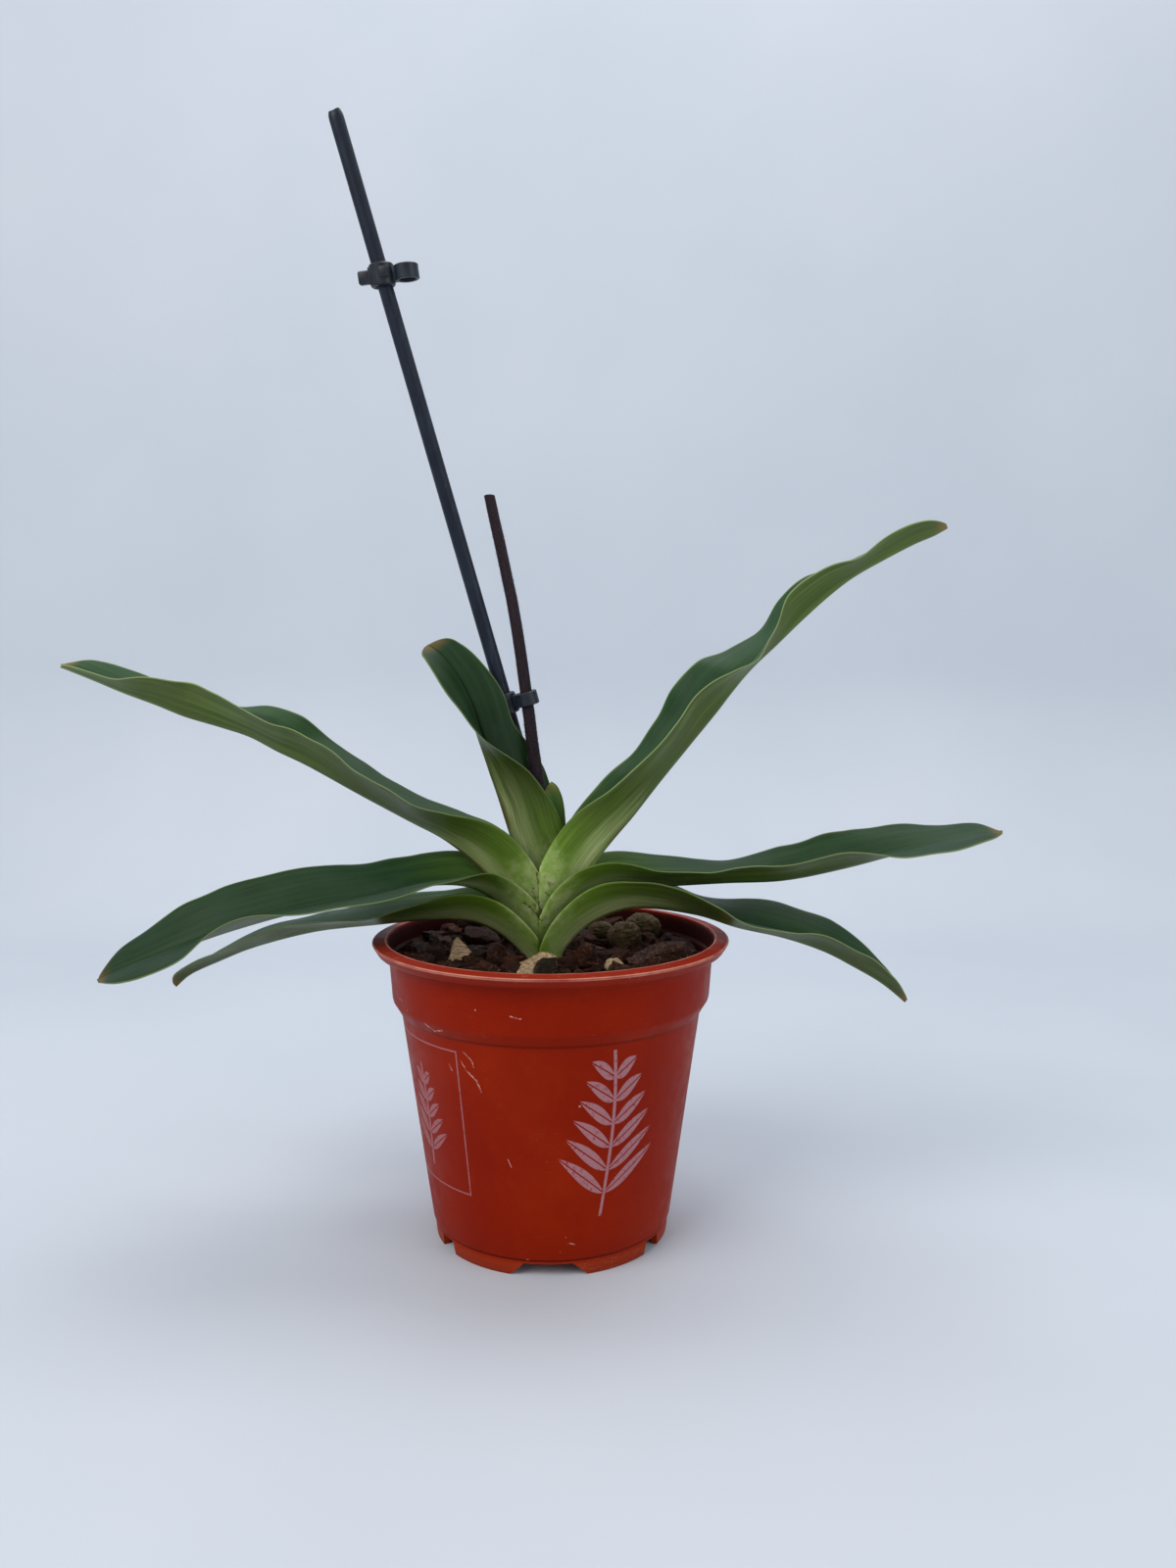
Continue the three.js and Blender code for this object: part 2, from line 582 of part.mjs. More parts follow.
const grownPieces = looseSolids(GAP);
looseSolids().forEach(([name, piece], i) => {
  const others = grownPieces.slice(0, i).map(([, grown]) => grown);
  const clear = piece.subtract(joined([taken, ...others])).intersect(potInside(CHIP_LIMIT));
  const colour = name.startsWith("chip") ? COLOURS.tan : COLOURS.greyBark;
  addNode(name, largest(clear), name === "bark_chunk_right" ? COLOURS.chunk : colour);
});

const medium = joined([potInside(MEDIUM_TOP), ...barkChips()])
  .intersect(potInside(CHIP_LIMIT))
  .subtract(joined([taken, ...grownPieces.map(([, grown]) => grown)]));
addNode("bark_medium", largest(medium), COLOURS.medium);

// Each clip stands square on the stake, its ring turned towards the flower stem
const stakeLine = STAKE_TIP.clone().sub(STAKE_FOOT);
for (const [name, height] of Object.entries(CLIP_HEIGHTS)) {
  const centre = STAKE_FOOT.clone().addScaledVector(stakeLine, (height - STAKE_FOOT.z) / stakeLine.z);
  const up = stakeLine.clone().normalize();
  const towardsRing = CLIP_DIRECTION.clone();
  towardsRing.addScaledVector(up, -towardsRing.dot(up)).normalize();
  const pose = new THREE.Matrix4().makeBasis(towardsRing, vector().crossVectors(up, towardsRing), up);
  const placed = geometryOf(clipSolid()).applyMatrix4(pose.setPosition(centre));
  addNode(name, solidOf(placed).subtract(stemSolid(GAP)), COLOURS.clip);
}

// The whole plant stands with the centre of its box over the origin
const centre = new THREE.Box3().setFromObject(plant).getCenter(vector());
plant.position.set(-centre.x, -centre.y, 0);

const potted = new THREE.Group();
potted.add(plant);
export default potted;
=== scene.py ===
# The looks of a potted slipper orchid out of bloom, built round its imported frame.
# Shapes are worked out in millimetres from the pot's axis at table height, and become metres in make_piece.

import math
from functools import partialmethod

import bmesh
import bpy
import numpy as np
from mathutils import Euler, Matrix, Vector, noise


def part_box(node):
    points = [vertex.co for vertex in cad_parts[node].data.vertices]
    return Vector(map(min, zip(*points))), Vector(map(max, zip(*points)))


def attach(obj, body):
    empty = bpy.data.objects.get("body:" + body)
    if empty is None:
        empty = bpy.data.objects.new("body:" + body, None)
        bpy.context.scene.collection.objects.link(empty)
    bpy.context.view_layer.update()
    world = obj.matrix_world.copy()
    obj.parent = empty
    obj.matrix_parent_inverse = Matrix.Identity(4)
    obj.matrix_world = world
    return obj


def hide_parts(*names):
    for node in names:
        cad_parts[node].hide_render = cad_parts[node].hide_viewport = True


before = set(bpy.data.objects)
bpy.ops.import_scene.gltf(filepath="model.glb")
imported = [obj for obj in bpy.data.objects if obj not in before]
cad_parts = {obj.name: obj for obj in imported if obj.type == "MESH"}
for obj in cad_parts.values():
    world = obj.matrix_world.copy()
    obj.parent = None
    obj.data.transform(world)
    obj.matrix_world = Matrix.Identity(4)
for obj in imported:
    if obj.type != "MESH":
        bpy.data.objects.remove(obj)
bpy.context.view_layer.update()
pot_low, pot_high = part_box("pot")
POT_AXIS = np.array([(pot_low.x + pot_high.x) / 2, (pot_low.y + pot_high.y) / 2, 0.0])
MM = 0.001

# Camera, as fitted to the photograph
PHOTO_HEIGHT = 1600
FOCAL_PIXELS = 1202
CAMERA_PLACE = (12.5, -395, 186)
CAMERA_PITCH = 4.9

# Studio, in metres: each light's place, size, power and tint
LIGHTS_AIM = (0.0, 0.0, 0.15)
LIGHTS = {
    "window": ((-0.75, -0.75, 1.05), (0.9, 0.9), 10.5, (1.0, 0.985, 0.96)),
    "fill": ((1.0, -0.6, 0.6), (0.9, 0.9), 3.6, (0.95, 0.975, 1.0)),
    "overhead": ((0.1, 0.35, 1.25), (1.1, 0.8), 6.5, (1.0, 1.0, 1.0)),
}
WORLD_TINT = (0.91, 0.92, 0.94, 1)
WORLD_STRENGTH = 0.42

# Leaves. A station along the keel is [x, y, z, near width, near lift, far width, far lift], and light is
# painted
# light: how far the leaf's colour is brightened or darkened at its foot and at its tip for how lit it looks.
MEETING_LINE = -3.9
LEAST_LEAF_WIDTH = 2
TIP_ROUNDS_FROM = 0.9
CURL_SETTLES_AT = 0.35
KEEL_THICKNESS = 1.3
EDGE_THICKNESS = 0.36
STEEPEST_MITRE = 62
LEAF_ROWS = 150
SHEATH_ROWS = 60
LEAF_CELLS = 12
LEAF_UPPER_TONES = ["1c331c", "233f22", "304d28", "2b4630"]
LEAF_UNDER_TONES = ["35471a", "435520", "5a6e2e", "4c5330"]
SHEATH_UPPER_TONES = ["24431f", "2f5528", "446c32", "375a2c"]
SHEATH_UNDER_TONES = ["30501f", "3c6326", "527c34", "3f632c"]
LEAVES = {
    "leaf_centre": dict(side=-1, meets=False, curls=(-30, 8), light=(0.62, 0.85), stations=[
        [-3, 0.5, 101, 9, 80, 9, 66],
        [-8, 0.5, 120, 15.5, 84, 13, 70],
        [-13, 0, 136, 17, 80, 17, 70],
        [-18, 0, 152, 14.5, 58, 17.5, 68],
        [-23.5, 0, 167, 12.5, 10, 13.2, 72],
        [-27.5, 0, 179.5, 12.5, -14, 11.8, 78],
        [-32, 0.5, 188.5, 11.5, -22, 10, 76],
        [-37, 2, 195, 8.5, -28, 8, 68],
        [-41.5, 4, 198.5, 5, -30, 5, 62],
    ]),
    "leaf_right_upper": dict(side=1, meets=True, curls=(-12, 10), light=(1.25, 1.45), stations=[
        [-2, 0, 98, 9, 60, 9, 60],
        [7, 0, 115, 15.5, 62, 13, 62],
        [17, 0, 130, 16.5, 66, 15, 68],
        [27.5, 1, 142.5, 16, 46, 15, 76],
        [37.5, 3, 154.5, 16, 34, 15.5, 50],
        [47, 5, 166, 15.5, 31, 16.5, 52],
        [55, 7, 176, 15, 36, 16.5, 69],
        [62, 9, 184.5, 14.5, 19, 15.5, 70],
        [69, 11, 192, 14, 6, 14, 42],
        [77.5, 12, 200, 14, 22, 14, 27],
        [86.5, 13, 209, 13.5, 47, 13.5, 41],
        [95, 14, 216.5, 13, 39, 13, 45],
        [104, 15, 223, 12, 24, 12, 24],
        [114.5, 15, 229, 11, 33, 11, 24],
        [124, 15, 234, 10, 34, 10, 36],
        [131, 15, 237, 8.5, 28, 8.5, 42],
        [135.5, 15, 239.5, 6, 18, 6, 38],
    ]),
    "leaf_left_upper": dict(side=-1, meets=True, curls=(-12, 10), light=(0.8, 1.5), stations=[
        [-4, 0, 96, 9, 58, 9, 58],
        [-12, 0, 110, 15, 62, 13, 62],
        [-24, 0, 124.5, 17.5, 62, 15, 60],
        [-36, 2, 133.5, 16.5, 37, 15.5, 36],
        [-48, 4, 139.5, 16, 27, 15, 28],
        [-66, 8, 148.5, 15, 35, 15, 28],
        [-84, 12, 158, 15, 45, 15, 42],
        [-95, 14, 163, 15, 36, 15, 56],
        [-105, 15, 168, 15, 34, 15, 47],
        [-116, 16, 171.5, 15, 48, 15, 27],
        [-128, 17, 175, 14, 54, 14, 28],
        [-138, 17, 179, 13, 44, 13, 30],
        [-149, 17, 183, 11.5, 27, 11.5, 34],
        [-158, 16, 187, 9, 21, 9, 42],
        [-165, 15, 190, 6.5, 18, 6.5, 42],
        [-170, 15, 192, 4, 15, 4, 36],
    ]),
    "leaf_right_middle": dict(side=1, meets=True, curls=(-12, 8), light=(1.05, 1.0), stations=[
        [-2, 0, 93, 9, 50, 9, 50],
        [8, 0, 109, 12.5, 54, 12, 54],
        [19, 0, 117.5, 14, 42, 14, 44],
        [35.5, -1, 118, 14.5, 30, 14.5, 36],
        [58.5, -3, 119.5, 14.5, 25, 14.5, 22],
        [78, -6, 121, 14.5, 28, 14.5, 36],
        [97, -9, 125.5, 14, 30, 14, 48],
        [113, -11, 130, 13.5, 6, 13.5, 36],
        [129.5, -13, 134.5, 11.5, -8, 11.5, 18],
        [141, -14, 137, 7.5, -7, 7.5, 18],
        [147.5, -14, 137.5, 3, -5, 3, 12],
    ]),
    "leaf_left_middle": dict(side=-1, meets=True, curls=(-12, 8), light=(0.95, 0.8), stations=[
        [-4, 0, 92, 9, 50, 9, 50],
        [-13, 0, 107, 13, 52, 12, 52],
        [-25, -1.5, 117, 14, 38, 14, 40],
        [-39.5, -8, 119.5, 15, 8, 15, 34],
        [-58, -14, 116.5, 16, 0, 16, 36],
        [-78.5, -20, 113.5, 16, 2, 16, 50],
        [-99.5, -26, 108.5, 16, 10, 16, 54],
        [-116.5, -31, 103, 15, -10, 15, 40],
        [-131, -34, 97.5, 11, -12, 11.5, 34],
        [-140, -35, 93.5, 5, -5, 5, 40],
    ]),
    "leaf_right_lower": dict(side=1, meets=True, curls=(-12, 8), light=(1.1, 1.0), stations=[
        [-0.5, 0, 88.5, 9, 44, 9, 44],
        [8, 0, 101, 13, 46, 13, 46],
        [19, 0, 108, 14.5, 52, 13.5, 52],
        [31, 0, 110.5, 15, 42, 14, 36],
        [49, -2, 108.5, 15, 28, 15, 18],
        [63, -4, 104.5, 15, 18, 15, 32],
        [78, -6, 101.5, 15, 15, 15, 40],
        [91, -8, 97.5, 14, 26, 14, 40],
        [101, -9, 92.5, 12, 28, 12, 34],
        [110.5, -10, 87, 8, 26, 8, 31],
        [118.5, -10, 80.5, 4, 20, 4, 26],
    ]),
    "leaf_left_lower": dict(side=-1, meets=True, curls=(-12, 8), light=(1.0, 0.8), stations=[
        [-4.5, 0, 88, 9, 42, 9, 42],
        [-13, 0, 98.3, 13, 44, 13, 44],
        [-25, 0, 105.3, 14, 48, 13.5, 48],
        [-41, 2, 106, 15, 30, 15, 29],
        [-61.5, 5, 103.5, 15, 16, 15, 24],
        [-82.5, 8, 100.5, 15, 22, 15, 12],
        [-104, 11, 94.5, 14, 17, 14, 14],
        [-118.5, 13, 88.5, 11, 21, 11, 14],
        [-128, 14, 84, 8, 24, 8, 6],
        [-133.5, 14, 79.5, 4, 30, 4, 8],
    ]),
    "flower_sheath": dict(side=1, meets=False, curls=(-16, -6), light=(1.0, 1.0), stations=[
        [2.8, 2.4, 112, 6, 74, 6, 50],
        [3.9, 2.4, 124, 7, 76, 6.5, 54],
        [3.8, 2.4, 136, 7.4, 70, 6.5, 54],
        [3.1, 2.4, 145, 7.2, 66, 6, 56],
        [1.5, 2.4, 150, 6.4, 64, 5.5, 56],
        [-0.6, 2.4, 152, 4.6, 62, 4.5, 56],
    ]),
}

# Flower stem and stake
STEM_POINTS = [
    [1.6, 0.6, 104], [0, 0.9, 119], [-2.2, 1, 135.5], [-4, 1.4, 150], [-6.2, 2.6, 165],
    [-8.1, 4.8, 180], [-11.8, 9, 205], [-15.6, 12.4, 224], [-21.4, 16.6, 250],
]
STEM_FOOT_RADIUS = 2.3
STEM_TOP_RADIUS = 1.85
STEM_CUT_SLOPE = -10
STEM_HAIRS = 4200
STAKE_RADIUS = 2.4
STAKE_FOOT = np.array([26.5, 21.5, 28])
STAKE_TIP = np.array([-67.3, -8, 365.5])
# Clips: height, the way the empty or used ring points, and how far the clip sags to that side in degrees
CLIPS = {"clip_upper": (316.5, (1, -0.08, 0), 9), "clip_lower": (179, (0.93, -0.37, 0), 0)}

# Pot
FOOT_RADIUS = 39.6
FOOT_INNER_RADIUS = 37.6
FLOOR_UNDERSIDE = 4.6
FLOOR_TOP = 6
POT_SEGMENTS = 220
FOOT_NOTCHES = [[-90, 20, 11], [90, 20, 11], [-33, 6.5, 5], [-147, 6.5, 5], [33, 6.5, 5], [147, 6.5, 5]]
NOTCH_HEIGHT = 4.4
LIP_INNER_EDGE = 55.7
LIP_OUTER_EDGE = 59.75
DRAIN_RADIUS = 3
DRAIN_RING_RADIUS = 25
DRAIN_COUNT = 8

# Marks on the pot's wall, in mm round from its front and mm up: strokes as (start, end, width)
WALL_PER_DEGREE = 0.83
SCRATCHES = [
    ((-37.5, 81.2), (-34.5, 79.4), 0.35), ((-34.5, 79.4), (-31, 80.2), 0.3),
    ((-25, 74), (-22.6, 72.6), 0.22), ((-22.6, 72.6), (-21.6, 69.8), 0.2), ((-26, 71), (-24.6, 68.2), 0.2),
    ((-24.6, 68.2), (-21, 65.4), 0.28), ((-21, 65.4), (-19.6, 61.8), 0.3), ((-31, 69), (-30.2, 67), 0.2),
    ((8, 12.5), (10.5, 12.1), 0.2), ((-12, 40.5), (-11.2, 38.2), 0.18), ((-8.6, 88), (-6, 87.6), 0.2),
]
# Printed on the wall: middle and foot in the same measures, then width and height
PRINT = (18.5, 20, 40, 54)
PRINTED_FRAME = (-48.5, 25, 40, 48)

# Where the crown's heart shows, in mm
HEART_X = -3.4
HEART_Z = 115
# Brown scars there, as strokes in mm across and up
SCARS = [((-8.8, 112.9), (-5.8, 110.4), 0.45), ((-5.8, 110.4), (-3, 107), 0.55),
         ((-4.6, 123), (-4.1, 119.5), 0.35), ((-3.9, 113), (-3.6, 108.5), 0.35),
         ((-1.8, 116.2), (-0.6, 115), 0.3)]

# Crown and roots: [direction in plan, spread at the end, height at the end]
ROOTS = [[15, 27, 34], [75, 20, 24], [135, 28, 38], [200, 30, 30], [255, 21, 22], [320, 28, 42]]
ROOT_RADIUS = 2.1

# Bark
MEDIUM_TOP = 90
BARK_SEED = 7
BARK_TONES = ["0f0705", "321c12", "6b432d", "b88c68"]
CHIP_COUNT = 210
CHIPS_REACH = 50.5
GOLDEN_ANGLE = math.radians(137.508)
CRUMB_COUNT = 340
# Chips placed one by one: place, size, turn and lean
CLEAR_CHIPS = [
    ((10.5, -3, 93.5), (9, 8, 11), 30, 24),
    ((9, 8, 94), (10, 7, 8), -30, 10),
    ((22, 33, 97.5), (9, 6, 5), 15, -12),
    ((12, 17, 95), (9, 7, 7), 60, 18),
    ((-13, -13, 93.5), (11, 8, 6), 10, -16),
    ((-19, -4, 94.5), (9, 7, 8), 50, 22),
]


# Meshes


def make_piece(name, points, faces, material, replaces=(), values=None, sharp=None):
    """A mesh object from points in millimetres, with float attributes, riding on the root"""
    mesh = bpy.data.meshes.new(name)
    mesh.from_pydata(((np.asarray(points, float) * MM) + POT_AXIS).tolist(), [], faces)
    mesh.materials.append(material)
    for key, numbers in (values or {}).items():
        attribute = mesh.attributes.new(key, "FLOAT", "POINT")
        attribute.data.foreach_set("value", np.asarray(numbers, np.float32))
    mesh.validate()
    mesh.shade_smooth()
    if sharp is not None:
        mesh.set_sharp_from_angle(angle=math.radians(sharp))
    piece = bpy.data.objects.new(name, mesh)
    bpy.context.scene.collection.objects.link(piece)
    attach(piece, "root")
    if replaces:
        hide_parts(*replaces)
    return piece


def joined(parts):
    """Points, faces and values of several (points, faces, values) parts as one"""
    points, faces, values, start = [], [], {}, 0
    for part_points, part_faces, part_values in parts:
        points.append(part_points)
        faces += [tuple(index + start for index in face) for face in part_faces]
        for key, numbers in part_values.items():
            values.setdefault(key, []).append(np.broadcast_to(numbers, len(part_points)))
        start += len(part_points)
    return np.concatenate(points), faces, {key: np.concatenate(numbers) for key, numbers in values.items()}


def grid_faces(rows, columns, closed=False):
    """Quads between rows of points"""
    faces = []
    for row in range(rows - 1):
        for column in range(columns - (0 if closed else 1)):
            following = (column + 1) % columns
            a, b = row * columns + column, row * columns + following
            faces.append((a, b, b + columns, a + columns))
    return faces


def along_rows(rows, fraction):
    """Catmull-Rom interpolation of rows of numbers"""
    rows = np.asarray(rows, float)
    place = fraction * (len(rows) - 1)
    i = min(int(place), len(rows) - 2)
    t = place - i
    b, c = rows[i], rows[i + 1]
    a = rows[i - 1] if i > 0 else 2 * b - c
    d = rows[i + 2] if i + 2 < len(rows) else 2 * c - b
    return 0.5 * (2 * b + (c - a) * t + (2 * a - 5 * b + 4 * c - d) * t**2 + (3 * b - a - 3 * c + d) * t**3)


def tangent_along(rows, fraction):
    step = 0.002
    ahead = along_rows(rows, min(fraction + step, 1))[:3]
    behind = along_rows(rows, max(fraction - step, 0))[:3]
    return (ahead - behind) / np.linalg.norm(ahead - behind)


def smoothstep(value, low, high):
    t = np.clip((value - low) / (high - low), 0, 1)
    return t * t * (3 - 2 * t)


def wavy(place, wavelength, seed):
    """Smooth noise from -1 to 1 along one number"""
    return noise.noise(Vector((place / wavelength, 17.3 * seed, 0.5))) * 2


# Leaves


def half_section(keel, outwards, upwards, width, lift, curl, cells, ripple):
    """Points and upper normals across one half of a leaf, from its keel to its edge"""
    points, normals = [], []
    point = keel.copy()
    for cell in range(cells):
        middle = (cell + 0.5) / cells
        angle = math.radians(lift + curl * (1 - 2 * middle) + ripple * middle**2)
        point = point + (math.cos(angle) * outwards + math.sin(angle) * upwards) * width / cells
        points.append(point)
        normals.append(math.cos(angle) * upwards - math.sin(angle) * outwards)
    return points, normals


def leaf_surface(leaf, seed, rows=LEAF_ROWS, cells=LEAF_CELLS):
    """The middle surface of a leaf, row by row from the near edge to the far one, with what its skin needs"""
    surface = dict(points=[], normals=[], half=[], across=[], rim=[], along=[], share=[])
    base_curl, tip_curl = leaf["curls"]
    travelled, previous = 0.0, None
    for row in range(rows + 1):
        fraction = row / rows
        x, y, z, near_width, near_lift, far_width, far_lift = along_rows(leaf["stations"], fraction)
        tangent = tangent_along(leaf["stations"], fraction)
        near = np.array([0, -1.0, 0])
        near -= near @ tangent * tangent
        near /= np.linalg.norm(near)
        upwards = np.cross(near, tangent) * leaf["side"]
        into_tip = max(fraction - TIP_ROUNDS_FROM, 0) / (1 - TIP_ROUNDS_FROM)
        tip = math.sqrt(max(1 - into_tip**2, 0.004))
        curl = base_curl + (tip_curl - base_curl) * smoothstep(fraction, 0, CURL_SETTLES_AT)
        keel = np.array([x, y, z])
        travelled += 0 if previous is None else np.linalg.norm(keel - previous)
        previous = keel

        def width_of(width, lift):
            if not leaf["meets"]:
                return width * tip
            room = abs(x - MEETING_LINE) / max(abs(upwards[0]) * math.sin(math.radians(lift)), 0.05)
            return min(width * tip, max(room, LEAST_LEAF_WIDTH))

        calm = smoothstep(fraction, 0.12, 0.4)
        halves = []
        sides = ((-1, near, near_width, near_lift), (1, -near, far_width, far_lift))
        for sign, outwards, width, lift in sides:
            ripple = calm * 9 * wavy(travelled, 13, seed + 3 * sign)
            width = width_of(width, lift) + calm * 0.25 * wavy(travelled, 9, seed + 5 * sign)
            halves.append((width, *half_section(keel, outwards, upwards, width, lift, curl, cells, ripple)))
        keel_lift = math.radians(min((near_lift + far_lift) / 2 + curl / 2, STEEPEST_MITRE))
        (near_width, near_points, near_normals), (far_width, far_points, far_normals) = halves
        shares = np.abs(np.arange(-cells, cells + 1)) / cells
        widths = np.r_[np.full(cells, near_width), far_width, np.full(cells, far_width)]
        surface["points"].append(near_points[::-1] + [keel] + far_points)
        surface["normals"].append(near_normals[::-1] + [upwards / math.cos(keel_lift)] + far_normals)
        surface["half"].append((KEEL_THICKNESS + (EDGE_THICKNESS - KEEL_THICKNESS) * shares**0.7) / 2)
        surface["across"].append(np.arange(-cells, cells + 1) / cells * widths)
        surface["rim"].append((1 - shares) * widths)
        surface["along"].append(np.full(2 * cells + 1, travelled))
        surface["share"].append(shares)
    surface = {key: np.array(numbers, float) for key, numbers in surface.items()}
    surface["to_tip"] = travelled - surface["along"]
    surface["rim"] = np.minimum(surface["rim"], surface["to_tip"])
    return surface


def leaf_skin(surface, relief):
    """A closed skin round a leaf's middle surface: upper side, under side and rounded edges"""
    points, normals, half = surface["points"], surface["normals"], surface["half"][..., None]
    rows, columns = points.shape[:2]
    across = np.gradient(points, axis=1)
    across /= np.linalg.norm(across, axis=2, keepdims=True) + 1e-9
    upper = points + normals * (half + relief[..., None])
    under = points - normals * (half - relief[..., None])
    bulge = 0.45 * surface["half"][:, :1]
    near_edge = points[:, :1] - across[:, :1] * bulge[..., None]
    far_edge = points[:, -1:] + across[:, -1:] * bulge[..., None]
    ring = np.concatenate([near_edge, upper, far_edge, under[:, ::-1]], axis=1)
    side = np.r_[0.5, np.ones(columns), 0.5, np.zeros(columns)]

    def round_ring(values):
        return np.concatenate([values[:, :1], values, values[:, -1:], values[:, ::-1]], axis=1)

    count = ring.shape[1]
    faces = grid_faces(rows, count, closed=True)
    for row, turn in ((0, 1), (rows - 1, -1)):
        start = row * count
        for k in range(columns - 1):
            quad = (start + 1 + k, start + count - 1 - k, start + count - 2 - k, start + 2 + k)
            faces.append(quad[::turn])
        low = (start, start + 1, start + count - 1)
        high = (start + columns + 1, start + columns + 2, start + columns)
        faces += [low[::-turn], high[::-turn]]
    values = {key: round_ring(surface[key]).ravel() for key in ("across", "rim", "along", "to_tip")}
    values["upper"] = np.tile(side, rows)
    return ring.reshape(-1, 3), faces, values


def vein_relief(surface, seed):
    """Low lengthwise channels and slow swells, in millimetres"""
    across, along = surface["across"], surface["along"]
    channels = 0.05 * np.cos(across * 2 * math.pi / 2.6 + 0.7 * np.sin(along / 31 + seed))
    swell = 0.14 * np.sin(along / 6.1 + 1.3 * np.sin(across / 3.7 + seed)) * surface["share"]
    fade = smoothstep(surface["rim"], 0.3, 3) * smoothstep(surface["along"], 5, 40)
    return (channels + swell) * fade


def make_leaf(name, leaf, seed, material, slot):
    small = slot == "sheath"
    surface = leaf_surface(leaf, seed, rows=SHEATH_ROWS if small else LEAF_ROWS)
    relief = vein_relief(surface, seed) * (0.3 if small else 1)
    points, faces, values = leaf_skin(surface, relief)
    values["leaf_seed"] = np.full(len(points), float(seed))
    values["leaf_painted_light"] = np.interp(values["along"], [0, values["along"].max()], leaf["light"])
    make_piece(name + "_blade", points, faces, material, [name], values)


# Round pieces along a line


def tube(rows, radii, sides, slant=0.0, shape=None):
    """A closed tube along rows of points, each ring squared to the line, the last one cut on a slant"""
    points, along, turn = [], [], []
    travelled, previous = 0.0, None
    for ring, radius in enumerate(radii):
        fraction = ring / (len(radii) - 1)
        centre = along_rows(rows, fraction)[:3]
        tangent = tangent_along(rows, fraction)
        sideways = np.cross(tangent, [0, 1, 0])
        sideways /= np.linalg.norm(sideways)
        across = np.cross(tangent, sideways)
        travelled += 0 if previous is None else np.linalg.norm(centre - previous)
        previous = centre
        lean = math.tan(math.radians(slant)) if ring == len(radii) - 1 else 0
        for k in range(sides):
            angle = 2 * math.pi * (k + 0.5) / sides
            reach = radius * (shape(angle, travelled) if shape else 1)
            offset = reach * (math.cos(angle) * sideways + math.sin(angle) * across)
            points.append(centre + offset - lean * reach * math.cos(angle) * tangent)
            along.append(travelled)
            turn.append(angle)
    count = len(radii)
    faces = grid_faces(count, sides, closed=True)
    middle_low, middle_high = len(points), len(points) + 1
    points += [np.mean(points[:sides], axis=0), np.mean(points[-sides:], axis=0)]
    along += [0, travelled]
    turn += [0, 0]
    last = (count - 1) * sides
    for k in range(sides):
        following = (k + 1) % sides
        faces.append((middle_low, following, k))
        faces.append((middle_high, last + k, last + following))
    return np.array(points), faces, {"along": np.array(along), "turn": np.array(turn)}


def outward(points, faces):
    """The faces turned so that the closed shape they bound faces outwards"""
    corners = [points[list(face[:3])] for face in faces]
    volume = sum(np.dot(a, np.cross(b, c)) for a, b, c in corners)
    quads = [points[[face[0], face[2], face[3]]] for face in faces if len(face) == 4]
    volume += sum(np.dot(a, np.cross(b, c)) for a, b, c in quads)
    return faces if volume > 0 else [face[::-1] for face in faces]


# Paint


def colour(text):
    """A linear colour with alpha from an sRGB hex text"""
    channels = [int(text[i:i + 2], 16) / 255 for i in (0, 2, 4)]
    return tuple(c / 12.92 if c <= 0.04045 else ((c + 0.055) / 1.055) ** 2.4 for c in channels) + (1.0,)


